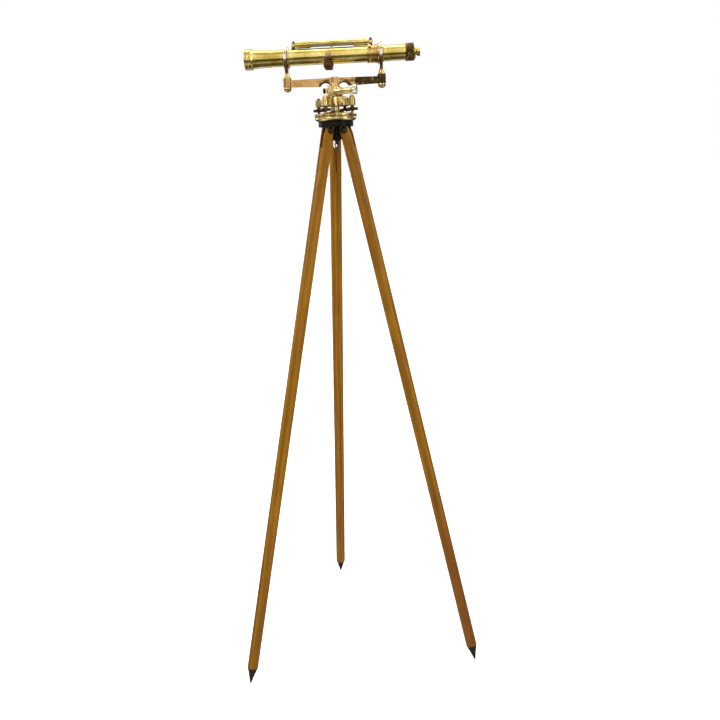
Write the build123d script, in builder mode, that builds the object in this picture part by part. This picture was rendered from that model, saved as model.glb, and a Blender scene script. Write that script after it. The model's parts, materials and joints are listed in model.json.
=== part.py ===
"""Antique brass wye level on a three-leg wooden tripod, one STEP file per piece.

Frame: millimetres, +Z up, origin on the ground under the instrument's vertical axis.
The telescope lies along X, with its object glass at -X and its eyepiece at +X.
"""
import math
import os

from build123d import *

# ---------------------------------------------------------------- driving dimensions
AXIS_Z = 1581.0            # height of the telescope's axis
HINGE_Z = 1406.0           # height of the leg hinges
HINGE_R = 26.0             # leg hinges from the vertical axis
FOOT_R = 351.0             # leg points from the vertical axis
LEG_AZIMUTHS = {"a": 100.0, "b": 220.0, "c": 340.0}
CROSS_AZIMUTHS = [-27.0, 63.0, 153.0, 243.0]

LEG_TOP_R = 15.2           # leg radius at the hinge
LEG_END_R = 14.0           # leg radius above its iron point
LEG_HEAD_R = 11.5          # rounded top of the leg, about its bolt
POINT_LEN = 46.0           # iron point
SLOT_W = 12.6              # slot for the head's tongue
SLOT_DEPTH = 43.0
KERF_W = 2.4               # saw cut below the slot
KERF_DEPTH = 104.0
TONGUE_W = 12.0
BOLT_R = 4.0

RIM_R = 43.0               # tripod head
RIM_Z0 = 1414.6
RIM_Z1 = 1427.8
THREAD_R = 30.0            # threaded ring that the level screws on to
THREAD_TOP = 1440.4
PLATE_R = 52.0             # lower plate
PLATE_Z1 = 1446.4
BALL_Z = 1438.4            # centre of the half ball
BALL_R = 17.6
SEAT_R0, SEAT_R1 = 17.68, 19.0
CAVITY_R = 19.3

SCREW_CIRCLE = 47.5        # levelling screws
SCREW_R = 4.0
THUMB_R = 14.0
THUMB_Z0, THUMB_Z1 = 1451.9, 1458.3
SCREW_TOP = 1483.4
CROSS_Z0, CROSS_Z1 = 1463.5, 1486.0
ARM_TOP = 1480.0
SOCKET_R = 16.5
SOCKET_TOP = 1506.8
COLLAR_Z0, COLLAR_Z1 = 1489.0, 1506.2
CLAMP_Z = 1500.2           # clamp screw

TANGENT_Z = 1498.5         # tangent screw
TANGENT_AZ = -12.0
TANGENT_D = 29.0           # from the vertical axis
LUG_HALF = 6.0

BAR_Z0, BAR_Z1 = 1509.5, 1530.2
BAR_END_Z0, BAR_END_Z1 = 1513.0, 1528.7
WYE_X = 115.0              # wyes from the vertical axis
BOSS_R = 10.3
SCOOP_X, SCOOP_R = 22.0, 12.5
BOSS_Z0, BOSS_Z1 = 1512.5, 1533.4
WYE_T = 7.6                # wye thickness along the telescope
STEM_R = 3.8
RING_R = 20.0              # bell-metal bearing rings
ARM_Y0, ARM_Y1 = 21.5, 27.0
ARM_H = 14.0               # wye arm tops above the axis
CLIP_Z = 14.3
HINGE_Y, HINGE_H = 29.2, 9.0
LOCK_H = 9.5

TUBE_R = 18.9              # main tube
TUBE_IN = 17.6
SLIDE_R = 15.5
TUBE_X0, TUBE_X1 = -162.0, 124.0
TUBE_SET = 7.5             # where the telescope's own x = 0 lies along the bar
PINION_X = -18.5
PINION_H = -22.6           # pinion axis, from the telescope's axis
PINION_TEETH = 15
RETICLE_X = 79.0
MODULE = 0.8
TOOTH_H = 0.65             # addendum
KNOB_R = 12.3
FOCUS_TRAVEL = 28.0
VIAL_H = 28.0              # vial axis above the telescope's axis
VIAL_R = 8.1
VIAL_X0, VIAL_X1 = -97.0, 76.0
POST_X = (-103.0, 83.0)    # posts that carry the level

OPTICAL = Axis((0, 0, AXIS_Z), (1, 0, 0))
PITCH_R = MODULE * PINION_TEETH / 2
TOOTH_PITCH = math.pi * MODULE

os.makedirs("parts", exist_ok=True)


def save(builder, name, along=0.0):
    """Label a finished piece and write its STEP file; along carries it that far towards +X."""
    piece = Pos(along, 0, 0) * builder.part
    piece.label = name
    export_step(piece, f"parts/{name}.step")


def outline(points, plane=Plane.XZ):
    """Closed straight-sided outline on a plane."""
    with BuildSketch(plane) as shape:
        with BuildLine():
            Polyline(*points, close=True)
        make_face()
    return shape.sketch


def along_tube(points):
    """Closed outline in the telescope's own terms: (x, distance from its axis)."""
    return outline([(x, AXIS_Z + r) for x, r in points])


def polar(radius, azimuth, z=0.0):
    """Point at a radius and azimuth about the vertical axis."""
    a = math.radians(azimuth)
    return (radius * math.cos(a), radius * math.sin(a), z)


def spun(points, plane):
    """Solid of revolution: (distance along, radius) points turned about the plane's x axis."""
    with BuildPart() as turned:
        revolve(outline(points, plane), axis=Axis(plane.origin, plane.x_dir))
    return turned.part


# ---------------------------------------------------------------- tripod
def make_tripod_head():
    """Japanned casting: a skirted rim, a threaded ring on top and three tongues below."""
    with BuildPart() as head:
        revolve(outline([
            (23.0, RIM_Z0 + 6.4), (39.5, RIM_Z0 + 6.4), (39.5, RIM_Z0), (41.6, RIM_Z0),
            (RIM_R, RIM_Z0 + 1.6), (RIM_R, RIM_Z1 - 1.6), (41.6, RIM_Z1), (THREAD_R, RIM_Z1),
            (THREAD_R, THREAD_TOP), (23.0, THREAD_TOP)]), axis=Axis.Z)
        with BuildSketch(Plane.XY.offset(RIM_Z0 + 6.4)):
            Circle(24.0)
        extrude(amount=4.0)
        with BuildSketch(Plane.XY.offset(RIM_Z0 + 8.0)):
            Circle(9.0)
        extrude(amount=-40.8)
        for azimuth in LEG_AZIMUTHS.values():
            side = Plane(origin=(0, 0, 0), x_dir=polar(1, azimuth), z_dir=polar(1, azimuth - 90))
            with BuildSketch(side):
                with BuildLine():
                    Polyline((4, RIM_Z0 + 7), (36, RIM_Z0 + 7), (35.5, HINGE_Z), (33.0, HINGE_Z - 13),
                             (27.0, HINGE_Z - 20), (4, HINGE_Z - 23), close=True)
                make_face()
                with Locations((HINGE_R, HINGE_Z)):
                    Circle(BOLT_R + 0.06, mode=Mode.SUBTRACT)
            extrude(amount=TONGUE_W / 2, both=True)
        with BuildSketch(Plane.XY.offset(RIM_Z0 - 40)):
            Circle(2.6)
        extrude(amount=20, mode=Mode.SUBTRACT)
    save(head, "tripod_head")


def make_plumb_hook():
    """Hook under the head for the plumb line."""
    hub_end = RIM_Z0 + 8.0 - 40.8
    with BuildPart() as hook:
        with BuildSketch(Plane.XY.offset(hub_end + 8.0)):
            Circle(2.5)
        extrude(amount=-17.0)
        with BuildSketch(Plane.XY.offset(hub_end - 0.2)):
            Circle(5.0)
        extrude(amount=-3.0)
        with BuildSketch(Plane(origin=(4.5, 0, hub_end - 9.0), x_dir=(1, 0, 0), z_dir=(0, 0, 1))):
            Circle(1.4)
        revolve(axis=Axis((0, 0, hub_end - 9.0), (0, -1, 0)), revolution_arc=250)
    save(hook, "plumb_hook")


def leg_plane(azimuth, distance=0.0):
    """Plane across a leg, its z axis running from the hinge down the leg."""
    down = (FOOT_R - HINGE_R, 0, -HINGE_Z)
    a = math.radians(azimuth)
    z_dir = Vector(down[0] * math.cos(a), down[0] * math.sin(a), down[2]).normalized()
    origin = Vector(*polar(HINGE_R, azimuth, HINGE_Z)) + z_dir * distance
    return Plane(origin=origin, x_dir=polar(1, azimuth + 90), z_dir=z_dir)


LEG_LEN = math.hypot(FOOT_R - HINGE_R, HINGE_Z)
WOOD_LEN = LEG_LEN - POINT_LEN


def make_leg(tag, azimuth):
    """Round tapered ash leg, slotted for the head's tongue and sawn below the slot."""
    across = leg_plane(azimuth)
    side = Plane(origin=across.origin, x_dir=across.z_dir, z_dir=across.x_dir)
    with BuildPart() as leg:
        with BuildSketch(leg_plane(azimuth, -LEG_HEAD_R)):
            Circle(LEG_TOP_R)
        with BuildSketch(leg_plane(azimuth, WOOD_LEN)):
            Circle(LEG_END_R)
        loft()
        with BuildSketch(side):
            Circle(LEG_HEAD_R)
            with BuildLine():
                Polyline((0, -LEG_HEAD_R), (30, -18), (WOOD_LEN, -18), (WOOD_LEN, 18), (30, 18),
                         (0, LEG_HEAD_R), close=True)
            make_face()
        extrude(amount=20, both=True, mode=Mode.INTERSECT)
        with BuildSketch(side):
            with BuildLine():
                Polyline((-20, -20), (SLOT_DEPTH, -20), (SLOT_DEPTH, 20), (-20, 20), close=True)
            make_face()
        extrude(amount=SLOT_W / 2, both=True, mode=Mode.SUBTRACT)
        with BuildSketch(side):
            with BuildLine():
                Polyline((0, -20), (KERF_DEPTH, -20), (KERF_DEPTH, 20), (0, 20), close=True)
            make_face()
        extrude(amount=KERF_W / 2, both=True, mode=Mode.SUBTRACT)
        with BuildSketch(side):
            Circle(BOLT_R + 0.03)
        extrude(amount=20, both=True, mode=Mode.SUBTRACT)
        for way in (1, -1):
            with BuildSketch(side.offset(way * 12.4)):
                Circle(8.9)
            extrude(amount=way * 8, mode=Mode.SUBTRACT)
        with BuildSketch(leg_plane(azimuth, WOOD_LEN)):
            Circle(5.05)
        extrude(amount=-31, mode=Mode.SUBTRACT)
    save(leg, f"leg_{tag}")


def make_leg_point(tag, azimuth):
    """Iron point with a short socket lip and a tang let into the leg's end."""
    end = leg_plane(azimuth, WOOD_LEN)
    side = Plane(origin=end.origin, x_dir=end.z_dir, z_dir=end.x_dir)
    with BuildPart() as point:
        with BuildSketch(side):
            with BuildLine():
                Polyline((-30, 0), (-30, 5), (0, 5), (0, LEG_END_R - 0.2), (3.5, LEG_END_R - 0.2),
                         (4.5, LEG_END_R - 1.2), (POINT_LEN - 2.2, 2.2), (POINT_LEN - 0.4, 1.2),
                         (POINT_LEN, 0), close=True)
            make_face()
        revolve(axis=Axis(end.origin, end.z_dir))
    save(point, f"leg_point_{tag}")


def make_leg_bolt(tag, azimuth):
    """Hinge bolt: slotted round head, two washers and a hexagon nut."""
    across = leg_plane(azimuth)
    along = Plane(origin=across.origin, x_dir=across.x_dir, z_dir=across.z_dir)
    side = Plane(origin=across.origin, x_dir=across.z_dir, z_dir=across.x_dir)
    with BuildPart() as bolt:
        add(spun([(-20.5, 0), (-20.5, 2.0), (-19.6, 4.6), (-17.6, 6.6), (-15.0, 7.4), (-15.0, 8.4),
                  (-12.5, 8.4), (-12.5, BOLT_R), (12.5, BOLT_R), (12.5, 8.4), (14.9, 8.4),
                  (14.9, BOLT_R), (20.6, BOLT_R), (21.2, 3.2), (21.2, 0)], along))
        with BuildSketch(side.offset(14.9)):
            RegularPolygon(6.8, 6)
        extrude(amount=4.4)
        with BuildSketch(side.offset(-21)):
            Rectangle(20, 1.5)
        extrude(amount=2.4, mode=Mode.SUBTRACT)
    save(bolt, f"leg_bolt_{tag}")


# ---------------------------------------------------------------- levelling head
def make_lower_plate():
    """Foot plate of the level: threaded on to the head, with a seat for the half ball."""
    with BuildPart() as plate:
        revolve(outline([
            (THREAD_R + 0.12, RIM_Z1 + 0.05), (42.5, RIM_Z1 + 0.05), (45.0, RIM_Z1 + 0.8),
            (49.0, RIM_Z1 + 3.2), (51.0, RIM_Z1 + 5.4), (51.0, RIM_Z1 + 8.2), (49.6, RIM_Z1 + 8.8),
            (49.6, RIM_Z1 + 10.0), (PLATE_R - 0.8, RIM_Z1 + 10.6), (PLATE_R, RIM_Z1 + 11.6),
            (PLATE_R, PLATE_Z1 - 2.2), (PLATE_R - 1.6, PLATE_Z1), (27.0, PLATE_Z1),
            (24.5, PLATE_Z1 + 4.5), (12.0, PLATE_Z1 + 4.5), (12.0, THREAD_TOP + 0.3),
            (THREAD_R + 0.12, THREAD_TOP + 0.3)]), axis=Axis.Z)
        with Locations((0, 0, BALL_Z)):
            Sphere(CAVITY_R, mode=Mode.SUBTRACT)
    save(plate, "lower_plate")


def make_ball_seat():
    """Spherical brass washer between the half ball and its seat in the plate."""
    with BuildPart() as seat:
        with Locations((0, 0, BALL_Z)):
            Sphere(SEAT_R1)
            Sphere(SEAT_R0, mode=Mode.SUBTRACT)
        with BuildSketch(Plane.XY.offset(BALL_Z + 3.4)):
            Circle(30)
        extrude(amount=6.0, mode=Mode.INTERSECT)
    save(seat, "ball_seat")


def make_half_ball():
    """Half ball that draws the levelling cross down and lets it tilt."""
    with BuildPart() as ball:
        with Locations((0, 0, BALL_Z)):
            Sphere(BALL_R)
        with BuildSketch(Plane.XY.offset(BALL_Z)):
            Circle(10.5)
        extrude(amount=CROSS_Z0 - BALL_Z)
        with BuildSketch(Plane.XY.offset(BALL_Z - 4.0)):
            Circle(30)
        extrude(amount=60.0, mode=Mode.INTERSECT)
        with BuildSketch(Plane.XY.offset(BALL_Z - 5.0)):
            Circle(8.0)
        extrude(amount=60.0, mode=Mode.SUBTRACT)
    save(ball, "half_ball")


def make_levelling_cross():
    """Four-armed plate with hollowed sides; each arm carries a levelling screw."""
    between = CROSS_AZIMUTHS[0] + 45
    with BuildPart() as cross:
        with BuildSketch(Plane.XY.offset(CROSS_Z0)):
            Circle(41.0)
            with PolarLocations(60.0, 4, start_angle=between):
                Circle(31.0, mode=Mode.SUBTRACT)
            with PolarLocations(SCREW_CIRCLE, 4, start_angle=CROSS_AZIMUTHS[0]):
                Circle(8.0)
            with PolarLocations(SCREW_CIRCLE / 2 + 8, 4, start_angle=CROSS_AZIMUTHS[0]):
                Rectangle(30, 15.0)
        extrude(amount=CROSS_Z1 - CROSS_Z0)
        revolve(outline([(27.0, CROSS_Z1 + 1), (27.0, CROSS_Z1), (37.5, ARM_TOP), (60, ARM_TOP),
                         (60, CROSS_Z1 + 1)]), axis=Axis.Z, mode=Mode.SUBTRACT)
        chamfer(cross.faces().sort_by(Axis.Z)[0].edges(), length=0.8)
        with BuildSketch(Plane.XY.offset(CROSS_Z0 - 1)):
            Circle(14.0)
            with PolarLocations(SCREW_CIRCLE, 4, start_angle=CROSS_AZIMUTHS[0]):
                Circle(SCREW_R + 0.06)
        extrude(amount=30, mode=Mode.SUBTRACT)
    save(cross, "levelling_cross")


def make_levelling_screw(number, azimuth):
    """Levelling screw with its milled thumb disc, standing on its shoe."""
    x, y, _ = polar(SCREW_CIRCLE, azimuth)
    with BuildPart() as screw:
        with BuildSketch(Plane((x, y, PLATE_Z1 + 2.1))):
            Circle(3.2)
        extrude(amount=THUMB_Z0 + 1.0 - PLATE_Z1 - 2.1)
        with BuildSketch(Plane((x, y, THUMB_Z0))):
            Circle(THUMB_R)
            with PolarLocations(THUMB_R + 0.35, 40):
                Circle(0.75, mode=Mode.SUBTRACT)
        extrude(amount=THUMB_Z1 - THUMB_Z0)
        with BuildSketch(Plane((x, y, THUMB_Z1))):
            Circle(6.4)
        extrude(amount=2.0)
        with BuildSketch(Plane((x, y, THUMB_Z1 + 2.0))):
            Circle(SCREW_R)
        extrude(amount=SCREW_TOP - THUMB_Z1 - 2.0)
        with BuildSketch(Plane((x, y, SCREW_TOP))):
            Circle(2.6)
        extrude(amount=1.2)
    save(screw, f"levelling_screw_{number}")


def make_levelling_shoe(number, azimuth):
    """Cup that the screw's foot stands in, on the lower plate."""
    x, y, _ = polar(SCREW_CIRCLE - 1.0, azimuth)
    with BuildPart() as shoe:
        with BuildSketch(Plane((x, y, PLATE_Z1 + 0.5))):
            Circle(4.2)
        extrude(amount=1.55)
    save(shoe, f"levelling_shoe_{number}")


def make_dust_caps():
    """Domed caps over three of the screws; the fourth screw's tip is bare."""
    with BuildPart() as caps:
        for azimuth in (CROSS_AZIMUTHS[0], CROSS_AZIMUTHS[1], CROSS_AZIMUTHS[3]):
            x, y, _ = polar(SCREW_CIRCLE, azimuth)
            plane = Plane(origin=(x, y, 0), x_dir=(0, 0, 1), z_dir=(0, -1, 0))
            z = ARM_TOP
            add(spun([(z, 4.6), (z, 6.4), (z + 4.6, 6.4), (z + 6.9, 5.0), (z + 7.9, 2.8), (z + 8.2, 0),
                      (z + 7.4, 0), (z + 7.4, 2.6), (z + 6.0, 4.6)], plane))
    save(caps, "dust_caps")


def make_centre_socket():
    """Long tapered socket for the spindle, held down by the half ball."""
    z0 = BALL_Z - 3.0
    with BuildPart() as socket:
        revolve(outline([
            (5.7, z0), (7.95, z0), (7.95, CROSS_Z0), (13.95, CROSS_Z0), (13.95, CROSS_Z1),
            (22.0, CROSS_Z1), (22.0, CROSS_Z1 + 1.6), (SOCKET_R + 1.4, CROSS_Z1 + 2.6),
            (SOCKET_R, CROSS_Z1 + 2.6), (SOCKET_R, SOCKET_TOP), (9.7, SOCKET_TOP)]), axis=Axis.Z)
    save(socket, "centre_socket")


# ---------------------------------------------------------------- clamp and tangent screw
TANGENT_U = polar(1, TANGENT_AZ)
TANGENT_O = polar(TANGENT_D, TANGENT_AZ - 90, TANGENT_Z)
TANGENT_PLANE = Plane(origin=TANGENT_O, x_dir=TANGENT_U, z_dir=(0, 0, 1))
TANGENT_SIDE = Plane(origin=TANGENT_O, x_dir=TANGENT_U, z_dir=polar(1, TANGENT_AZ - 90))


def make_clamp_collar():
    """Split clamp ring around the socket, with the arm that carries the tangent screw."""
    with BuildPart() as collar:
        with BuildSketch(Plane.XY.offset(COLLAR_Z0)):
            Circle(20.0)
            Circle(SOCKET_R + 0.06, mode=Mode.SUBTRACT)
        extrude(amount=COLLAR_Z1 - COLLAR_Z0)
        with BuildSketch(TANGENT_PLANE.offset(COLLAR_Z0 - TANGENT_Z)):
            with Locations((34.5, 0)):
                Rectangle(37.0, 9.0)
            with Locations((13.0, 10.0)):
                Rectangle(18.0, 16.0)
        extrude(amount=3.2)
        with BuildSketch(TANGENT_PLANE.offset(COLLAR_Z0 - TANGENT_Z)):
            with Locations((35.0, 0)):
                Rectangle(20.0, 9.0)
        extrude(amount=6.5)
        add(spun([(10.0, 0), (10.0, 6.2), (60.0, 6.2), (60.0, 0)], TANGENT_SIDE),
            mode=Mode.SUBTRACT)
        with BuildSketch(Plane.XY.offset(COLLAR_Z0)):
            Circle(SOCKET_R + 0.06)
        extrude(amount=20, mode=Mode.SUBTRACT)
        with BuildSketch(Plane(origin=(-19.0, 0, CLAMP_Z), x_dir=(0, 1, 0), z_dir=(-1, 0, 0))):
            Circle(5.6)
        extrude(amount=2.4)
        with BuildSketch(Plane(origin=(-10, 0, CLAMP_Z), x_dir=(0, 1, 0), z_dir=(-1, 0, 0))):
            Circle(2.56)
        extrude(amount=14, mode=Mode.SUBTRACT)
        with BuildSketch(Plane.XY.offset(COLLAR_Z0 - 1)):
            with Locations((0, 18.5)):
                Rectangle(1.2, 6)
        extrude(amount=30, mode=Mode.SUBTRACT)
    save(collar, "clamp_collar")


def make_tangent_barrel():
    """Barrel on the clamp arm: thrust bearing and friction spring housing of the screw."""
    with BuildPart() as barrel:
        add(spun([(20.0, 4.3), (20.0, 5.2), (21.0, 6.2), (48.0, 6.2), (49.0, 5.4), (50.5, 5.4),
                  (50.5, 4.3)], TANGENT_SIDE))
        add(spun([(24.0, 0), (24.0, 5.2), (46.0, 5.2), (46.0, 0)], TANGENT_SIDE), mode=Mode.SUBTRACT)
    save(barrel, "tangent_barrel")


def make_tangent_screw():
    """Slow-motion screw: thread, thrust collar and a milled head."""
    with BuildPart() as screw:
        add(spun([(-8.0, 0), (-8.0, 3.2), (-7.2, 4.0), (25.0, 4.0), (25.0, 4.9), (27.5, 4.9),
                  (27.5, 3.2), (54.5, 3.2), (54.5, 10.6), (55.5, 11.6), (61.5, 11.6), (62.5, 10.6),
                  (62.5, 2.0), (61.5, 0)], TANGENT_SIDE))
        with BuildSketch(Plane(origin=Vector(*TANGENT_O) + Vector(*TANGENT_U) * 54.0,
                               x_dir=(0, 0, 1), z_dir=TANGENT_U)):
            with PolarLocations(11.85, 44):
                Circle(0.6)
        extrude(amount=9, mode=Mode.SUBTRACT)
    save(screw, "tangent_screw")


def make_friction_spring():
    """Coil spring inside the barrel that takes up the screw's end play."""
    turn_r, wire_r, pitch, turns = 4.25, 0.45, 2.6, 6
    start = Vector(*TANGENT_O) + Vector(*TANGENT_U) * 28.3
    with BuildPart() as coil:
        with BuildLine() as path:
            Helix(pitch=pitch, height=pitch * turns, radius=turn_r)
        with BuildSketch(Plane(origin=path.line @ 0, z_dir=path.line % 0)):
            Circle(wire_r)
        sweep(path=path.line, is_frenet=True)
    with BuildPart() as spring:
        add(Plane(origin=start, x_dir=(0, 0, 1), z_dir=TANGENT_U).location * coil.part)
    save(spring, "friction_spring")


def make_clamp_screw():
    """Radial clamp screw with a milled head and a brass pad behind it."""
    side = Plane(origin=(0, 0, CLAMP_Z), x_dir=(-1, 0, 0), z_dir=(0, 1, 0))
    with BuildPart() as screw:
        add(spun([(16.7, 0), (16.7, 2.5), (22.6, 2.5), (22.6, 6.0), (23.4, 6.6), (27.6, 6.6),
                  (28.4, 6.0), (28.4, 0)], side))
        with BuildSketch(Plane(origin=(-22, 0, CLAMP_Z), x_dir=(0, 1, 0), z_dir=(-1, 0, 0))):
            with PolarLocations(6.8, 28):
                Circle(0.5)
        extrude(amount=8, mode=Mode.SUBTRACT)
    save(screw, "clamp_screw")


# ---------------------------------------------------------------- limb bar and wyes
def make_limb_bar():
    """Bar that carries the wyes: tapered arms, a turned hub and a boss at each end."""
    x_end = WYE_X
    with BuildPart() as bar:
        with BuildSketch(Plane.XZ):
            with BuildLine():
                Polyline((-x_end, BAR_END_Z0), (0, BAR_Z0), (x_end, BAR_END_Z0),
                         (x_end, BAR_END_Z1), (0, BAR_Z1), (-x_end, BAR_END_Z1), close=True)
            make_face()
        extrude(amount=6.5, both=True)
        with BuildSketch(Plane.XY.offset(1500)):
            with BuildLine():
                Polyline((-x_end, -5.2), (0, -6.5), (x_end, -5.2), (x_end, 5.2), (0, 6.5),
                         (-x_end, 5.2), close=True)
            make_face()
        extrude(amount=40, mode=Mode.INTERSECT)
        for way in (1, -1):
            with BuildSketch(Plane.XZ.offset(way * 3.0)):
                with Locations((-SCOOP_X, BAR_Z0 + 4.0), (SCOOP_X, BAR_Z0 + 4.0)):
                    Circle(SCOOP_R)
            extrude(amount=way * 10, mode=Mode.SUBTRACT)
        with BuildSketch(Plane.XZ):
            with Locations((-SCOOP_X, BAR_Z0 - 3.5), (SCOOP_X, BAR_Z0 - 3.5)):
                Circle(SCOOP_R)
        extrude(amount=10, both=True, mode=Mode.SUBTRACT)
        with BuildSketch(Plane.XY.offset(BAR_Z0)):
            Circle(10.2)
        extrude(amount=BAR_Z1 + 1.6 - BAR_Z0)
        with BuildSketch(Plane.XY.offset(BOSS_Z0)):
            with Locations((-x_end, 0), (x_end, 0)):
                Circle(BOSS_R)
        extrude(amount=BOSS_Z1 - BOSS_Z0)
        with BuildSketch(Plane.XY.offset(BAR_Z0 - 1)):
            with Locations((-x_end, 0), (x_end, 0)):
                Circle(STEM_R + 0.5)
            Circle(6.05)
        extrude(amount=40, mode=Mode.SUBTRACT)
        with BuildSketch(Plane.XZ.offset(8.0)):
            with Locations((-3.0, BAR_Z0 + 8.0)):
                Circle(1.5)
        extrude(amount=4, mode=Mode.SUBTRACT)
    save(bar, "limb_bar")


def make_spindle():
    """Tapered spindle that turns in the socket, its flange screwed under the bar."""
    z0 = BALL_Z - 2.0
    with BuildPart() as spindle:
        revolve(outline([
            (0, z0), (5.65, z0), (9.62, SOCKET_TOP), (9.62, SOCKET_TOP + 0.25), (15.0, SOCKET_TOP + 0.25),
            (15.0, BAR_Z0), (6.0, BAR_Z0), (6.0, BAR_Z1 + 0.6), (0, BAR_Z1 + 0.6)]), axis=Axis.Z)
    save(spindle, "spindle")


def make_drive_lug():
    """Bracket from the spindle's flange down to the tangent screw, with its nut."""
    with BuildPart() as lug:
        with BuildSketch(TANGENT_PLANE.offset(SOCKET_TOP + 0.45 - TANGENT_Z)):
            with Locations((-3.0, 8.0)):
                Rectangle(13.0, 26.0)
        extrude(amount=BAR_Z0 - SOCKET_TOP - 0.5)
        with BuildSketch(TANGENT_PLANE.offset(1493.0 - TANGENT_Z)):
            Rectangle(2 * LUG_HALF, 11.0)
        extrude(amount=SOCKET_TOP + 0.5 - 1493.0)
        with BuildSketch(Plane.XY.offset(1490)):
            Circle(15.1)
        extrude(amount=40, mode=Mode.SUBTRACT)
        add(spun([(-12, 0), (-12, 4.6), (12, 4.6), (12, 0)], TANGENT_SIDE), mode=Mode.SUBTRACT)
    save(lug, "drive_lug")


def wye_plane(x):
    """Plane across the telescope at a wye: its x axis along +Y, its y axis up."""
    return Plane(origin=(x, 0, AXIS_Z), x_dir=(0, 1, 0), z_dir=(1, 0, 0))


def make_wye(name, x):
    """Y-shaped rest with a V seat, threaded stem, latch arm and hinge knuckles."""
    plane = wye_plane(x)
    seat = 28.35
    with BuildPart() as wye:
        with BuildSketch(plane):
            with BuildLine():
                Polyline((-ARM_Y1, ARM_H), (-ARM_Y1, -9), (-17.5, -23.5), (-8, -29), (-STEM_R, -35),
                         (STEM_R, -35), (8, -29), (17.5, -23.5), (ARM_Y1, -9), (ARM_Y1, ARM_H),
                         (ARM_Y0, ARM_H), (ARM_Y0, ARM_Y0 - seat), (6, 6 - seat), (-6, 6 - seat),
                         (-ARM_Y0, ARM_Y0 - seat), (-ARM_Y0, ARM_H), close=True)
            make_face()
        extrude(amount=WYE_T / 2, both=True)
        with BuildSketch(Plane.XY.offset(AXIS_Z - 34)):
            with Locations((x, 0)):
                Circle(STEM_R)
        extrude(amount=-42.4)
        with BuildSketch(plane.offset(-WYE_T / 2)):
            with Locations((HINGE_Y, HINGE_H)):
                Circle(2.9)
            with Locations((HINGE_Y - 2.0, HINGE_H)):
                Rectangle(4.0, 5.8)
        extrude(amount=WYE_T)
        with BuildSketch(plane.offset(-1.35)):
            with Locations((HINGE_Y + 0.5, HINGE_H + 1.0)):
                Rectangle(7.0, 14.0)
        extrude(amount=2.7, mode=Mode.SUBTRACT)
        with BuildSketch(plane.offset(-6)):
            with Locations((HINGE_Y, HINGE_H)):
                Circle(1.25)
        extrude(amount=12, mode=Mode.SUBTRACT)
        with BuildSketch(Plane.XZ.offset(ARM_Y0 - 2)):
            with Locations((x, AXIS_Z + LOCK_H)):
                Circle(1.35)
            with Locations((x, AXIS_Z + LOCK_H + 4)):
                Rectangle(2.7, 8)
        extrude(amount=8, mode=Mode.SUBTRACT)
    save(wye, name)


def make_clip(name, x):
    """Hinged clip over the bearing ring, latched on the wye's near arm."""
    plane = wye_plane(x)
    outer, inner = 25.2, RING_R + 0.5
    with BuildPart() as clip:
        with BuildSketch(plane):
            Circle(outer)
            with BuildLine():
                Polyline((-3.4, outer - 1), (-1.0, 32.2), (1.0, 32.2), (3.4, outer - 1), close=True)
            make_face()
            with Locations((0, CLIP_Z + 1.8)):
                Rectangle(57.6, 3.6)
            Circle(inner, mode=Mode.SUBTRACT)
            with Locations((0, CLIP_Z - 50)):
                Rectangle(120, 100, mode=Mode.SUBTRACT)
            with Locations((-ARM_Y1 - 1.15, 6.5)):
                Rectangle(1.7, 22.8)
        extrude(amount=3.3, both=True)
        with BuildSketch(plane):
            with Locations((HINGE_Y, HINGE_H)):
                Circle(2.7)
            with Locations((HINGE_Y - 0.2, HINGE_H + 4.0)):
                Rectangle(3.2, 8.0)
        extrude(amount=1.15, both=True)
        with BuildSketch(plane.offset(-6)):
            with Locations((HINGE_Y, HINGE_H)):
                Circle(1.25)
        extrude(amount=12, mode=Mode.SUBTRACT)
        with BuildSketch(Plane.XZ.offset(ARM_Y0)):
            with Locations((x, AXIS_Z + LOCK_H)):
                Circle(1.2)
        extrude(amount=12, mode=Mode.SUBTRACT)
        with BuildSketch(Plane.XZ.offset(-40)):
            with Locations((x - 4.3, AXIS_Z + 36), (x + 4.3, AXIS_Z + 36)):
                Rectangle(4.2, 17.0)
        extrude(amount=80, mode=Mode.SUBTRACT)
    save(clip, name)


def make_clip_pin(name, x):
    """Latch pin through the clip's cheek into the wye."""
    plane = Plane(origin=(x, 0, AXIS_Z + LOCK_H), x_dir=(0, -1, 0), z_dir=(0, 0, 1))
    with BuildPart() as pin:
        add(spun([(22.2, 0), (22.2, 1.15), (29.2, 1.15), (29.2, 1.9), (30.6, 1.9), (31.0, 1.4),
                  (31.0, 0)], plane))
    save(pin, name)


def make_clip_hinge_pins():
    """The two hinge pins of the clips."""
    with BuildPart() as pins:
        for x in (-WYE_X, WYE_X):
            with BuildSketch(wye_plane(x).offset(-WYE_T / 2 - 0.5)):
                with Locations((HINGE_Y, HINGE_H)):
                    Circle(1.2)
            extrude(amount=WYE_T + 1.0)
    save(pins, "clip_hinge_pins")


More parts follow.
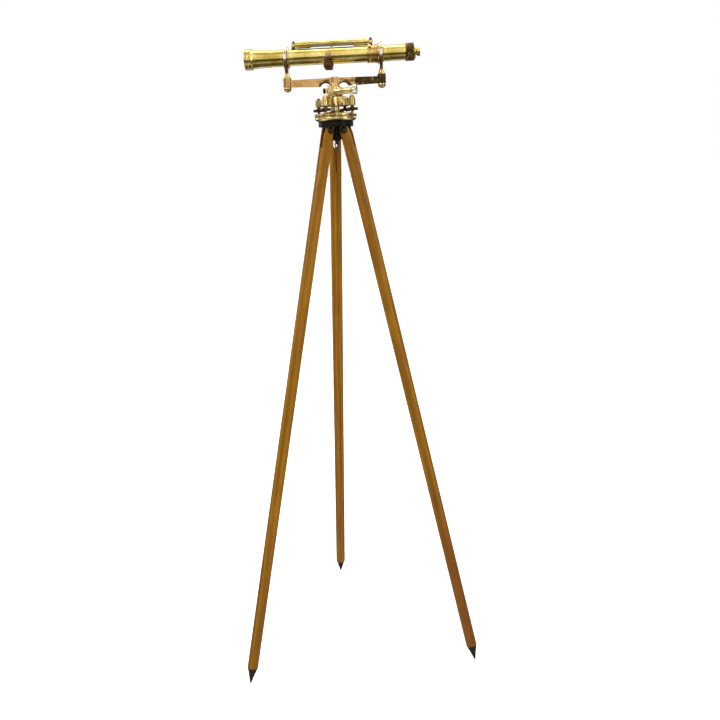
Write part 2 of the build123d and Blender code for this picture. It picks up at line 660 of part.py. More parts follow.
def make_wye_nuts():
    """Capstan nuts above the bar's bosses and ball nuts below them."""
    with BuildPart() as nuts:
        for x in (-WYE_X, WYE_X):
            plane = Plane(origin=(x, 0, 0), x_dir=(0, 0, 1), z_dir=(0, -1, 0))
            z = BOSS_Z1
            hole = STEM_R + 0.02
            add(spun([(z, hole), (z, 8.0), (z + 0.8, 8.6), (z + 3.6, 8.6), (z + 4.4, 7.3), (z + 9.4, 7.3),
                      (z + 10.4, 6.4), (z + 11.4, 6.0), (z + 11.4, hole)], plane))
            z = BOSS_Z0
            add(spun([(z, hole), (z, 9.0), (z - 2.0, 9.8), (z - 5.0, 9.6), (z - 8.0, 8.0),
                      (z - 10.4, 5.4), (z - 11.6, 2.6), (z - 11.8, 0), (z - 9.5, 0), (z - 9.5, hole)],
                     plane))
        for x in (-WYE_X, WYE_X):
            for z in (BOSS_Z1 + 6.9, BOSS_Z0 - 4.4):
                with BuildSketch(Plane(origin=(x, 0, z), x_dir=(1, 0, 0), z_dir=(0, -1, 0))):
                    Circle(1.2)
                extrude(amount=14, both=True, mode=Mode.SUBTRACT)
                with BuildSketch(Plane(origin=(x, 0, z), x_dir=(0, 1, 0), z_dir=(1, 0, 0))):
                    Circle(1.2)
                extrude(amount=14, both=True, mode=Mode.SUBTRACT)
        for x in (-WYE_X, WYE_X):
            with BuildSketch(Plane.XY.offset(BOSS_Z0 - 9.5)):
                with Locations((x, 0)):
                    Circle(STEM_R + 0.02)
            extrude(amount=40, mode=Mode.SUBTRACT)
    save(nuts, "wye_nuts")


# ---------------------------------------------------------------- telescope
def make_main_tube():
    """Body tube, stepped at the object end, with two guide lands for the slide."""
    with BuildPart() as tube:
        revolve(along_tube([
            (TUBE_X0, TUBE_IN), (TUBE_X0, 20.6), (TUBE_X0 + 2.6, 20.6), (TUBE_X0 + 3.2, 19.7),
            (-130.2, 19.7), (-129.4, TUBE_R), (TUBE_X1, TUBE_R), (TUBE_X1, TUBE_IN)]), axis=OPTICAL)
        for x in (TUBE_X0, -72.0):
            revolve(along_tube([(x, SLIDE_R + 0.06), (x, TUBE_IN + 0.3), (x + 12, TUBE_IN + 0.3),
                                (x + 12, SLIDE_R + 0.06)]), axis=OPTICAL)
        revolve(along_tube([
            (74.2, TUBE_R - 0.4), (74.2, 20.6), (75.2, 21.4), (76.8, 21.4), (77.6, 20.4), (85.3, 20.4),
            (86.2, 21.4), (88.4, 21.4), (89.4, 20.2), (91.8, 20.2), (93.0, 21.8), (97.3, 21.8),
            (98.8, 20.2), (98.8, TUBE_R - 0.4)]), axis=OPTICAL)
        for angle in (45, 135, 225, 315):
            a = math.radians(angle)
            radial = (0, math.cos(a), math.sin(a))
            with BuildSketch(Plane(origin=(RETICLE_X + 2, 0, AXIS_Z), x_dir=(1, 0, 0), z_dir=radial)):
                Circle(1.65)
            extrude(amount=30, mode=Mode.SUBTRACT)
        with BuildSketch(Plane.XZ):
            with Locations(((TUBE_X0 - 72 + 12) / 2, AXIS_Z - 16.6)):
                Rectangle(104, 2.2)
        extrude(amount=2.9, both=True, mode=Mode.SUBTRACT)
        with BuildSketch(Plane.XY.offset(AXIS_Z - 25)):
            with Locations((PINION_X, 0)):
                Rectangle(15.0, 6.8)
        extrude(amount=12, mode=Mode.SUBTRACT)
        for x in POST_X:
            with BuildSketch(Plane((x, 0, AXIS_Z + 16))):
                Circle(1.6)
            extrude(amount=5, mode=Mode.SUBTRACT)
    save(tube, "main_tube", TUBE_SET)


def make_bearing_rings():
    """Bell-metal rings that turn in the wyes, each with a flange on its inner side."""
    with BuildPart() as rings:
        for way in (-1, 1):
            x = way * WYE_X - TUBE_SET
            revolve(along_tube([
                (x - way * 8.4, TUBE_R + 0.03), (x - way * 8.4, 22.6), (x - way * 7.8, 24.0),
                (x - way * 5.4, 24.4), (x - way * 4.2, 24.4), (x - way * 4.2, RING_R),
                (x + way * 5.6, RING_R), (x + way * 6.6, TUBE_R + 0.03)]), axis=OPTICAL)
    save(rings, "bearing_rings", TUBE_SET)


def make_reticle():
    """Diaphragm ring with its two cross hairs."""
    with BuildPart() as reticle:
        revolve(along_tube([(RETICLE_X, 12.0), (RETICLE_X, 16.4), (RETICLE_X + 4, 16.4),
                            (RETICLE_X + 4, 12.0)]), axis=OPTICAL)
        with BuildSketch(Plane(origin=(RETICLE_X, 0, AXIS_Z), x_dir=(0, 1, 0), z_dir=(1, 0, 0))):
            Rectangle(25.0, 0.16)
            Rectangle(0.16, 25.0)
        extrude(amount=0.16)
    save(reticle, "reticle", TUBE_SET)


def capstan(plane, start, length):
    """Capstan-headed screw along a plane's x axis, its head drilled crosswise."""
    end = start + length
    return spun([(start, 0), (start, 1.6), (end, 1.6), (end, 2.7), (end + 0.5, 3.1),
                 (end + 3.4, 3.1), (end + 3.9, 2.7), (end + 3.9, 0)], plane)


def make_reticle_screws():
    """Four capstan screws that hold and move the diaphragm."""
    with BuildPart() as screws:
        for angle in (45, 135, 225, 315):
            a = math.radians(angle)
            radial = (0, math.cos(a), math.sin(a))
            plane = Plane(origin=(RETICLE_X + 2, 0, AXIS_Z), x_dir=radial, z_dir=(1, 0, 0))
            add(capstan(plane, 16.5, 4.2))
    save(screws, "reticle_screws", TUBE_SET)


def make_pinion_housing():
    """Saddle and box under the tube that carry the focusing pinion."""
    z = AXIS_Z + PINION_H
    with BuildPart() as housing:
        with BuildSketch(Plane.XY.offset(z - 9.4)):
            with Locations((PINION_X, 0)):
                RectangleRounded(19.0, 21.0, 2.0)
        extrude(amount=14.0)
        revolve(along_tube([(PINION_X - 7.4, TUBE_R + 0.02), (PINION_X - 7.4, 20.3),
                            (PINION_X + 7.4, 20.3), (PINION_X + 7.4, TUBE_R + 0.02)]), axis=OPTICAL)
        with BuildSketch(Plane.XZ):
            with Locations((PINION_X, AXIS_Z + 25 + 7.0)):
                Rectangle(40, 50)
        extrude(amount=30, both=True, mode=Mode.SUBTRACT)
        with BuildSketch(Plane.XZ.offset(-40)):
            with Locations((PINION_X, AXIS_Z - 3)):
                Rectangle(40, 22)
        extrude(amount=36, mode=Mode.SUBTRACT)
        add(spun([(PINION_X - 20, 0), (PINION_X - 20, TUBE_R + 0.02), (PINION_X + 20, TUBE_R + 0.02),
                  (PINION_X + 20, 0)], Plane(origin=(0, 0, AXIS_Z), x_dir=(1, 0, 0), z_dir=(0, -1, 0))),
            mode=Mode.SUBTRACT)
        with BuildSketch(Plane.XZ):
            with Locations((PINION_X, z)):
                Circle(PITCH_R + 1.3)
        extrude(amount=3.4, both=True, mode=Mode.SUBTRACT)
        with BuildSketch(Plane.XY.offset(z)):
            with Locations((PINION_X, 0)):
                Rectangle(2 * PITCH_R + 2.6, 6.8)
        extrude(amount=12, mode=Mode.SUBTRACT)
        with BuildSketch(Plane.XZ.offset(-9.0)):
            with Locations((PINION_X, z)):
                Circle(2.56)
        extrude(amount=30, mode=Mode.SUBTRACT)
    save(housing, "pinion_housing", TUBE_SET)


def make_focus_pinion():
    """Pinion and its shaft, with a tooth gap facing the rack's middle tooth."""
    z = AXIS_Z + PINION_H
    root = PITCH_R - 0.85
    tip = PITCH_R + TOOTH_H
    step = 360 / PINION_TEETH
    with BuildPart() as pinion:
        with BuildSketch(Plane.XZ):
            with Locations((PINION_X, z)):
                Circle(root)
            for k in range(PINION_TEETH):
                a = math.radians(90 + step * (k + 0.5))
                w_root, w_tip = 0.23 * TOOTH_PITCH * 1.25, 0.23 * TOOTH_PITCH * 0.62
                r_in = root - 0.4
                pts = [(r_in, -w_root), (tip, -w_tip), (tip, w_tip), (r_in, w_root)]
                with BuildLine():
                    Polyline(*[(PINION_X + r * math.cos(a) - t * math.sin(a),
                                z + r * math.sin(a) + t * math.cos(a)) for r, t in pts], close=True)
                make_face()
        extrude(amount=3.0, both=True)
        with BuildSketch(Plane.XZ.offset(-8.5)):
            with Locations((PINION_X, z)):
                Circle(2.5)
        extrude(amount=8.5 + 24.5)
    save(pinion, "focus_pinion", TUBE_SET)


def make_focus_knob():
    """Milled focusing knob with a shallow dished face."""
    z = AXIS_Z + PINION_H
    plane = Plane(origin=(PINION_X, 0, z), x_dir=(0, -1, 0), z_dir=(0, 0, 1))
    with BuildPart() as knob:
        add(spun([(11.2, 2.52), (11.2, 5.2), (18.2, 5.2), (19.2, KNOB_R - 1), (20.0, KNOB_R),
                  (25.2, KNOB_R), (26.2, KNOB_R - 0.9), (27.0, 8.0), (27.4, 3.4), (27.4, 0),
                  (24.8, 0), (24.8, 2.52)], plane))
        with BuildSketch(Plane.XZ.offset(18.5)):
            with Locations((PINION_X, z)):
                with PolarLocations(KNOB_R + 0.3, 40):
                    Circle(0.65)
        extrude(amount=9, mode=Mode.SUBTRACT)
    save(knob, "focus_knob", TUBE_SET)


def make_objective_slide():
    """Draw tube of the object glass, with the focusing rack along its underside."""
    count = 9 + math.ceil(FOCUS_TRAVEL / TOOTH_PITCH)
    x0 = PINION_X - 4.5 * TOOTH_PITCH
    x1 = x0 + count * TOOTH_PITCH
    with BuildPart() as slide:
        revolve(along_tube([(TUBE_X0 - 8.0, 14.3), (TUBE_X0 - 8.0, SLIDE_R), (x1, SLIDE_R),
                            (x1, 14.3)]), axis=OPTICAL)
        root_z = AXIS_Z - 15.75
        tip_z = AXIS_Z + PINION_H + PITCH_R - TOOTH_H
        with BuildSketch(Plane.XZ):
            with Locations(((x0 + x1) / 2, root_z + 0.5)):
                Rectangle(x1 - x0, 1.0)
            for k in range(count):
                x = PINION_X + (k - 4) * TOOTH_PITCH
                w_root, w_tip = 0.23 * TOOTH_PITCH * 1.3, 0.23 * TOOTH_PITCH * 0.62
                with BuildLine():
                    Polyline((x - w_root, root_z + 0.1), (x - w_tip, tip_z), (x + w_tip, tip_z),
                             (x + w_root, root_z + 0.1), close=True)
                make_face()
        extrude(amount=2.4, both=True)
    save(slide, "objective_slide", TUBE_SET)


def make_objective_head():
    """Flared object end with its front ring, screwed on the draw tube."""
    x = TUBE_X0 - 0.4
    with BuildPart() as head:
        revolve(along_tube([
            (x, SLIDE_R + 0.02), (x, 20.0), (x - 2, 20.2), (-176, 20.5), (-190, 21.3),
            (-204.0, 22.4), (-205.4, 24.0), (-207, 24.5), (-221.4, 24.5), (-223, 23.8), (-223, 21.6),
            (-214.5, 21.2), (-214.5, 20.6), (-200, 20.6), (-200, 19.0), (x - 8.2, 17.5),
            (x - 8.2, SLIDE_R + 0.02)]), axis=OPTICAL)
    save(head, "objective_head", TUBE_SET)


def lens(x0, x1, radius, bulge0, bulge1):
    """Lens between two x positions at its edge; each bulge is how far its face stands out."""
    steps = [k / 5 for k in range(6)]
    front = [(x0 - bulge0 * (1 - t * t), t * radius) for t in steps]
    back = [(x1 + bulge1 * (1 - t * t), t * radius) for t in reversed(steps)]
    return spun(front + back, Plane(origin=(0, 0, AXIS_Z), x_dir=(1, 0, 0), z_dir=(0, -1, 0)))


def make_object_glass():
    """Achromatic doublet: a double-convex crown and a plano-convex flint behind it."""
    with BuildPart() as glass:
        add(lens(-210.6, -206.6, 20.5, 1.4, 0.9))
        add(lens(-204.6, -201.6, 20.5, 0.9, 0.4))
    save(glass, "object_glass", TUBE_SET)


def make_eyepiece_tube():
    """Outer tube of the erecting eyepiece."""
    with BuildPart() as tube:
        revolve(along_tube([(108.0, 15.6), (108.0, TUBE_IN - 0.02), (TUBE_X1 + 0.1, TUBE_IN - 0.02),
                            (TUBE_X1 + 0.1, 18.7), (166.0, 18.7), (166.0, 15.6)]), axis=OPTICAL)
    save(tube, "eyepiece_tube", TUBE_SET)


def make_eyepiece_ring():
    """Milled focusing ring of the eyepiece, with a bevelled end."""
    with BuildPart() as ring:
        revolve(along_tube([(166.3, 14.6), (166.3, 20.0), (167.2, 20.9), (169.0, 20.9), (169.4, 20.3),
                            (184.0, 20.3), (184.4, 20.9), (185.6, 20.9), (186.4, 20.0), (190.2, 13.6),
                            (190.2, 7.65), (188.0, 7.65), (188.0, 12.0), (168.0, 12.0),
                            (168.0, 14.6)]), axis=OPTICAL)
        with BuildSketch(Plane(origin=(169.4, 0, AXIS_Z), x_dir=(0, 1, 0), z_dir=(1, 0, 0))):
            with PolarLocations(20.75, 54):
                Circle(0.75)
        extrude(amount=14.6, mode=Mode.SUBTRACT)
    save(ring, "eyepiece_ring", TUBE_SET)


def make_eye_cap():
    """Eye tube and its dished cap, which move in and out as the ring is turned."""
    with BuildPart() as cap:
        revolve(along_tube([(150.0, 6.4), (150.0, 7.6), (192.6, 7.6), (192.6, 9.6), (193.4, 10.8),
                            (200.0, 10.8), (201.0, 10.0), (201.0, 7.4), (197.4, 2.6), (196.0, 2.6),
                            (196.0, 6.4)]), axis=OPTICAL)
    save(cap, "eye_cap", TUBE_SET)


def make_eye_lenses():
    """Eye lens and field lens of the eyepiece."""
    with BuildPart() as lenses:
        for x in (156.0, 184.0):
            add(lens(x - 1.2, x + 1.2, 6.35, 1.2, 1.2))
    save(lenses, "eye_lenses", TUBE_SET)


# ---------------------------------------------------------------- spirit level
VIAL_PLANE = Plane(origin=(0, 0, AXIS_Z + VIAL_H), x_dir=(1, 0, 0), z_dir=(0, -1, 0))
WINDOWS = ((-62.0, -13.0), (-9.0, 42.0))


def make_vial_tube():
    """Brass sleeve of the level: two long windows towards the telescope, a lug at each end."""
    with BuildPart() as tube:
        add(spun([(VIAL_X0, 0), (VIAL_X0, 6.0), (VIAL_X0 + 1, VIAL_R), (VIAL_X1 - 1, VIAL_R),
                  (VIAL_X1, 6.0), (VIAL_X1, 0), (60.0, 0), (60.0, 7.0), (-80.0, 7.0), (-80.0, 0)],
                 VIAL_PLANE))
        for x0, x1 in WINDOWS:
            with BuildSketch(Plane.XZ):
                with Locations(((x0 + x1) / 2, AXIS_Z + VIAL_H - 6.0)):
                    RectangleRounded(x1 - x0, 12.0, 2.4)
            extrude(amount=12, both=True, mode=Mode.SUBTRACT)
        for x, end in zip(POST_X, (VIAL_X0, VIAL_X1)):
            with BuildSketch(Plane(origin=(end, 0, AXIS_Z + VIAL_H), x_dir=(0, 1, 0),
                                   z_dir=(math.copysign(1, end), 0, 0))):
                Circle(3.0)
            extrude(amount=abs(x - end))
            with BuildSketch(Plane((x, 0, AXIS_Z + VIAL_H - 3.2))):
                Circle(5.6)
            extrude(amount=6.4)
            with BuildSketch(Plane((x, 0, AXIS_Z + VIAL_H - 4.0))):
                Circle(2.26)
            extrude(amount=8.0, mode=Mode.SUBTRACT)
    save(tube, "vial_tube", TUBE_SET)


def make_vial_glass():
    """Sealed glass vial."""
    with BuildPart() as glass:
        add(spun([(-72.0, 0), (-70.0, 4.4), (-66.0, 6.6), (52.0, 6.6), (56.0, 4.4), (58.0, 0),
                  (56.6, 0), (54.6, 3.6), (51.2, 5.5), (-65.2, 5.5), (-68.6, 3.6), (-70.6, 0)],
                 VIAL_PLANE))
    save(glass, "vial_glass", TUBE_SET)


def make_vial_spirit():
    """Spirit that fills the vial up to its bubble."""
    with BuildPart() as spirit:
        add(spun([(-70.5, 0), (-68.5, 3.5), (-65.1, 5.45), (51.1, 5.45), (54.5, 3.5), (56.5, 0)],
                 VIAL_PLANE))
        with Locations((-10.0, 0, AXIS_Z + VIAL_H + 24.4)):
            Box(60, 20, 42, mode=Mode.SUBTRACT)
    save(spirit, "vial_spirit", TUBE_SET)


def make_vial_mounts():
    """Saddles on the tube, each with a post through the lug at one end of the level."""
    with BuildPart() as mounts:
        for x in POST_X:
            with BuildSketch(Plane((x, 0, AXIS_Z + 17.0))):
                RectangleRounded(10.0, 14.0, 1.5)
            extrude(amount=4.4)
            with BuildSketch(Plane((x, 0, AXIS_Z + 21.0))):
                Circle(2.2)
            extrude(amount=16.6)
            foot = TUBE_R + 0.04 if x < 0 else 21.42
            add(spun([(x - 8, 0), (x - 8, foot), (x + 8, foot), (x + 8, 0)],
                     Plane(origin=(0, 0, AXIS_Z), x_dir=(1, 0, 0), z_dir=(0, -1, 0))),
                mode=Mode.SUBTRACT)
    save(mounts, "vial_mounts", TUBE_SET)


def make_vial_nuts():
    """Capstan nuts above and below each lug."""
    with BuildPart() as nuts:
        for x in POST_X:
            for z in (AXIS_Z + VIAL_H - 6.4, AXIS_Z + VIAL_H + 3.3):
                with BuildSketch(Plane((x, 0, z))):
                    Circle(4.0)
                    Circle(2.22, mode=Mode.SUBTRACT)
                extrude(amount=3.1)
    save(nuts, "vial_nuts", TUBE_SET)


# ---------------------------------------------------------------- build
make_tripod_head()
make_plumb_hook()
for leg_tag, leg_azimuth in LEG_AZIMUTHS.items():
    make_leg(leg_tag, leg_azimuth)
    make_leg_point(leg_tag, leg_azimuth)
    make_leg_bolt(leg_tag, leg_azimuth)
make_lower_plate()
make_ball_seat()
make_half_ball()
make_levelling_cross()
for screw_number, screw_azimuth in enumerate(CROSS_AZIMUTHS, start=1):
    make_levelling_screw(screw_number, screw_azimuth)
    make_levelling_shoe(screw_number, screw_azimuth)
make_dust_caps()
make_centre_socket()
make_clamp_collar()
make_clamp_screw()
make_tangent_barrel()
make_tangent_screw()
make_friction_spring()
make_limb_bar()
make_spindle()
make_drive_lug()
for end_name, end_x in (("objective", -WYE_X), ("eyepiece", WYE_X)):
    make_wye(f"wye_{end_name}", end_x)
    make_clip(f"clip_{end_name}", end_x)
    make_clip_pin(f"clip_pin_{end_name}", end_x)
make_clip_hinge_pins()
make_wye_nuts()
make_main_tube()
make_bearing_rings()
make_reticle()
make_reticle_screws()
make_pinion_housing()
make_focus_pinion()
make_focus_knob()
make_objective_slide()
make_objective_head()
make_object_glass()
make_eyepiece_tube()
make_eyepiece_ring()
make_eye_cap()
make_eye_lenses()
make_vial_tube()
make_vial_glass()
make_vial_spirit()
make_vial_mounts()
make_vial_nuts()
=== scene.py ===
"""Antique brass wye level on its wooden tripod: fine surfaces, finishes, light and camera."""

import json
import math

import bmesh
import bpy
import numpy as np
from mathutils import Matrix, Vector


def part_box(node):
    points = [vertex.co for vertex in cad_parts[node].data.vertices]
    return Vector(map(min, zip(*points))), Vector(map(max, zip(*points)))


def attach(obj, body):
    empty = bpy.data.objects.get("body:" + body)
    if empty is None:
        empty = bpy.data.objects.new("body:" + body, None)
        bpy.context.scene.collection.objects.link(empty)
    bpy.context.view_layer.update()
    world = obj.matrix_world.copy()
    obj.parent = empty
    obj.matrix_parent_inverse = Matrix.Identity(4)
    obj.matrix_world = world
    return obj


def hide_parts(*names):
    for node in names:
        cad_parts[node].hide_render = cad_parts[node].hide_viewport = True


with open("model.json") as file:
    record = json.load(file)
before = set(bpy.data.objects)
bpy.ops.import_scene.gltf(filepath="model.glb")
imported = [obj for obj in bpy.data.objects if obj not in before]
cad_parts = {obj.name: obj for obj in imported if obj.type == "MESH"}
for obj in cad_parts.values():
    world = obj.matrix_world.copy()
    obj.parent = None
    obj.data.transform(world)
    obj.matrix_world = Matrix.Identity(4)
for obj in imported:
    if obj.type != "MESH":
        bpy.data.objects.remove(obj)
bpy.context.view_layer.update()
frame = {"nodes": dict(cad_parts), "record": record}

# ---------------------------------------------------------------- places, in metres, from the frame
MM = 0.001
RINGS_LOW, RINGS_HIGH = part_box("bearing_rings")
AXIS_Z = (RINGS_LOW[2] + RINGS_HIGH[2]) / 2        # the telescope's axis
PLATE_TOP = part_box("levelling_shoe_1")[0][2] - 0.5 * MM    # the shoes clear the plate by 0.5 mm
CROSS_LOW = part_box("levelling_cross")[0][2]
RIM_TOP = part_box("lower_plate")[0][2]
X_AXIS, Z_AXIS = Vector((1, 0, 0)), Vector((0, 0, 1))
LEG_AZIMUTHS = {"a": 100.0, "b": 220.0, "c": 340.0}
FOOT_R, HINGE_R, HINGE_Z = 0.351, 0.026, 1.406
CROSS_AZIMUTHS = (-27.0, 63.0, 153.0, 243.0)
SCREW_CIRCLE = 0.0475
TANGENT_AZ, TANGENT_D, TANGENT_Z = -12.0, 0.029, 1.4985


def polar(radius, azimuth, z=0.0):
    """Point at a radius and azimuth in degrees about the vertical axis."""
    a = math.radians(azimuth)
    return Vector((radius * math.cos(a), radius * math.sin(a), z))


def middle(node):
    """Centre of a node's box."""
    low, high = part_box(node)
    return (Vector(low) + Vector(high)) / 2


WYE_X = middle("wye_eyepiece").x
TUBE_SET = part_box("main_tube")[0][0] + 0.162       # the telescope's own x = 0
TUBE_START = (TUBE_SET, 0, AXIS_Z)


# ---------------------------------------------------------------- shader maths
class Value:
    """A socket carrying a number; an expression on it adds the Math nodes that work it out."""

    def __init__(self, finish, socket):
        self.finish = finish
        self.socket = socket

    def _maths(self, operation, first, second):
        return self.finish.node("ShaderNodeMath", {"operation": operation}, [first, second])

    def __add__(self, other):
        return self._maths("ADD", self, other)

    def __radd__(self, other):
        return self._maths("ADD", other, self)

    def __sub__(self, other):
        return self._maths("SUBTRACT", self, other)

    def __rsub__(self, other):
        return self._maths("SUBTRACT", other, self)

    def __mul__(self, other):
        return self._maths("MULTIPLY", self, other)

    def __rmul__(self, other):
        return self._maths("MULTIPLY", other, self)

    def between(self, low, high):
        """0 below low, 1 above high, smooth in between."""
        settings = {"interpolation_type": "SMOOTHSTEP", "clamp": True}
        return self.finish.node("ShaderNodeMapRange", settings, [self, low, high, 0.0, 1.0])


class Finish:
    """One material: its node tree, with short names for the patterns it is made of."""

    def __init__(self, name, metallic=0.0, roughness=0.5, coat=0.0, coat_roughness=0.1):
        self.material = bpy.data.materials.new(name)
        self.material.use_nodes = True
        self.tree = self.material.node_tree
        self.shader = self.tree.nodes["Principled BSDF"]
        self.shader.inputs["Metallic"].default_value = metallic
        self.shader.inputs["Roughness"].default_value = roughness
        self.shader.inputs["Coat Weight"].default_value = coat
        self.shader.inputs["Coat Roughness"].default_value = coat_roughness
        self.place = self.node("ShaderNodeTexCoord", {}, [], "Object")

    def node(self, kind, settings, inputs, output=0):
        """Adds a node: its settings first, then its inputs by order or by name; gives one output."""
        made = self.tree.nodes.new(kind)
        for key, value in settings.items():
            setattr(made, key, value)
        pairs = inputs.items() if isinstance(inputs, dict) else enumerate(inputs)
        for key, value in pairs:
            if isinstance(value, Value):
                self.tree.links.new(value.socket, made.inputs[key])
            elif value is not None:
                made.inputs[key].default_value = value
        return Value(self, made.outputs[output])

    def turned(self, origin, rotation):
        """Object coordinates in a frame that has its own origin and turn."""
        return self.node("ShaderNodeMapping", {"vector_type": "TEXTURE"},
                         {"Vector": self.place, "Location": origin, "Rotation": rotation})

    def stretched(self, place, scale):
        """Coordinates multiplied along each axis."""
        return self.node("ShaderNodeVectorMath", {"operation": "MULTIPLY"}, [place, scale])

    def part(self, place, axis):
        """One coordinate of a place: 0, 1 or 2."""
        return self.node("ShaderNodeSeparateXYZ", {}, [place], axis)

    def noise(self, place, scale, detail=4.0, roughness=0.55, distortion=0.0):
        """Soft noise from 0 to 1."""
        return self.node("ShaderNodeTexNoise", {}, {
            "Vector": place, "Scale": scale, "Detail": detail, "Roughness": roughness,
            "Distortion": distortion})

    def colours(self, factor, *stops):
        """Colour along a ramp of (place, colour) stops."""
        made = self.tree.nodes.new("ShaderNodeValToRGB")
        ramp = made.color_ramp
        for k, (at, colour) in enumerate(stops):
            stop = ramp.elements[k] if k < 2 else ramp.elements.new(at)
            stop.position = at
            stop.color = (*colour, 1.0)
        self.tree.links.new(factor.socket, made.inputs[0])
        return Value(self, made.outputs[0])

    def mixed(self, factor, first, second):
        """first where the factor is 0, second where it is 1."""
        made = self.tree.nodes.new("ShaderNodeMix")
        made.data_type = "RGBA"
        made.clamp_factor = True
        for k, value in ((0, factor), (6, first), (7, second)):
            if isinstance(value, Value):
                self.tree.links.new(value.socket, made.inputs[k])
            else:
                made.inputs[k].default_value = (*value, 1.0) if k else value
        return Value(self, made.outputs[2])

    def bump(self, height, strength, distance):
        """Feeds a height to the shader's normal."""
        normal = self.node("ShaderNodeBump", {}, {
            "Strength": strength, "Distance": distance, "Height": height})
        self.tree.links.new(normal.socket, self.shader.inputs["Normal"])

    def feed(self, socket, value):
        """Feeds a varying value to one of the shader's sockets."""
        self.tree.links.new(value.socket, self.shader.inputs[socket])


class Studio(Finish):
    """The world's node tree, with the same short names."""

    def __init__(self, world):
        world.use_nodes = True
        self.tree = world.node_tree
        self.shader = self.tree.nodes["Background"]
        self.place = self.node("ShaderNodeTexCoord", {}, [], "Generated")


# ---------------------------------------------------------------- finishes
def brass(name, light, deep, stain, turned_along=None, roughness=0.2, stained=0.5, coat=0.0,
          dark_side=0.0, dark_above=None, painted_shade_round=()):
    """Old brass: clouded colour, brown spots, fine handling scratches and, on turned work, tool rings.

    turned_along is the axis, 0 to 2, that the tool rings run round. stained is how much of it is brown,
    from 0 to 1. dark_side adds painted shade, as brown, towards +X, dark_above gives a height that it is
    browner above, and painted_shade_round gives places (x, z, radius) in the XZ plane near which it has
    painted shade, as brown.
    """
    f = Finish(name, metallic=1.0, coat=coat, coat_roughness=0.25)
    clouds = f.noise(f.place, 26.0, 5.0, 0.6, 0.4)
    patches = f.noise(f.place, 60.0, 8.0, 0.7, 0.8)
    specks = f.noise(f.place, 900.0, 3.0, 0.6)
    # Painted shade: brown laid over the +X side, standing in for the shadow on that side of the piece.
    if dark_side:
        side = f.part(f.place, 0).between(0.012, 0.07)
        patches = patches + side * dark_side
    if dark_above is not None:
        patches = patches + f.part(f.place, 2).between(dark_above, dark_above + 0.0006) * 0.2
    # Painted shade: brown laid near each given place, standing in for the shadow in a recess.
    for x, z, radius in painted_shade_round:
        across, up = f.part(f.place, 0) - x, f.part(f.place, 2) - z
        patches = patches - (across * across + up * up).between(0.0, radius ** 2) * 0.36 + 0.36
    # brown is real stain, and also painted shade where dark_side or painted_shade_round raised patches.
    brown = patches.between(0.72 - 0.22 * stained, 0.84 - 0.2 * stained)
    pits = specks.between(0.66, 0.76)
    metal = f.colours(clouds, (0.32, deep), (0.68, light))
    f.feed("Base Color", f.mixed(brown * 0.88 + pits * 0.25, metal, stain))
    f.feed("Roughness", roughness + clouds * 0.12 + brown * 0.2 + pits * 0.15)
    hairlines = f.noise(f.stretched(f.place, (2600.0, 260.0, 260.0)), 1.0, 2.0)
    height = hairlines * 0.25 + specks * 0.2 + patches * 0.3
    if turned_along is not None:
        stretch = [30.0, 30.0, 30.0]
        stretch[turned_along] = 3600.0
        height = height + f.noise(f.stretched(f.place, stretch), 1.0, 2.0) * 0.5
    f.bump(height, 0.22, 0.00012)
    return f.material


def bronze(name, light, deep, roughness=0.34):
    """Bronze gone dark in use, with brighter metal where hands have rubbed it."""
    f = Finish(name, metallic=1.0)
    patches = f.noise(f.place, 70.0, 8.0, 0.7, 0.6)
    grime = f.noise(f.place, 420.0, 5.0, 0.65)
    rubbed = patches.between(0.5, 0.68)
    f.feed("Base Color", f.mixed(rubbed * 0.75 + grime * 0.15, deep, light))
    f.feed("Roughness", roughness + grime * 0.22 - rubbed * 0.1)
    f.bump(grime * 0.6 + patches, 0.3, 0.00018)
    return f.material


def japan(name):
    """Black japan over cast metal: glossy, slightly pitted, worn brown in places."""
    f = Finish(name, coat=0.05, coat_roughness=0.2)
    f.shader.inputs["Specular IOR Level"].default_value = 0.1
    cast = f.noise(f.place, 240.0, 6.0, 0.6)
    wear = f.noise(f.place, 42.0, 8.0, 0.72, 0.5)
    worn = wear.between(0.62, 0.7)
    dust = f.noise(f.place, 17.0, 4.0).between(0.45, 0.8)
    black = f.mixed(dust * 0.3, (0.003, 0.003, 0.003), (0.02, 0.016, 0.012))
    f.feed("Base Color", f.mixed(worn, black, (0.085, 0.052, 0.028)))
    f.feed("Roughness", 0.3 + cast * 0.2 + worn * 0.25)
    f.bump(cast + worn * 0.5, 0.3, 0.00025)
    return f.material


def iron(name, base, rust):
    """Dark hand-worked iron with thin brown rust."""
    f = Finish(name, metallic=0.85)
    rusty = f.noise(f.place, 110.0, 8.0, 0.75, 0.5)
    fine = f.noise(f.place, 700.0, 5.0, 0.6)
    f.feed("Base Color", f.mixed(rusty.between(0.46, 0.66) * 0.85, base, rust))
    f.feed("Roughness", 0.4 + rusty * 0.35 + fine * 0.1)
    f.bump(rusty + fine * 0.5, 0.45, 0.0003)
    return f.material


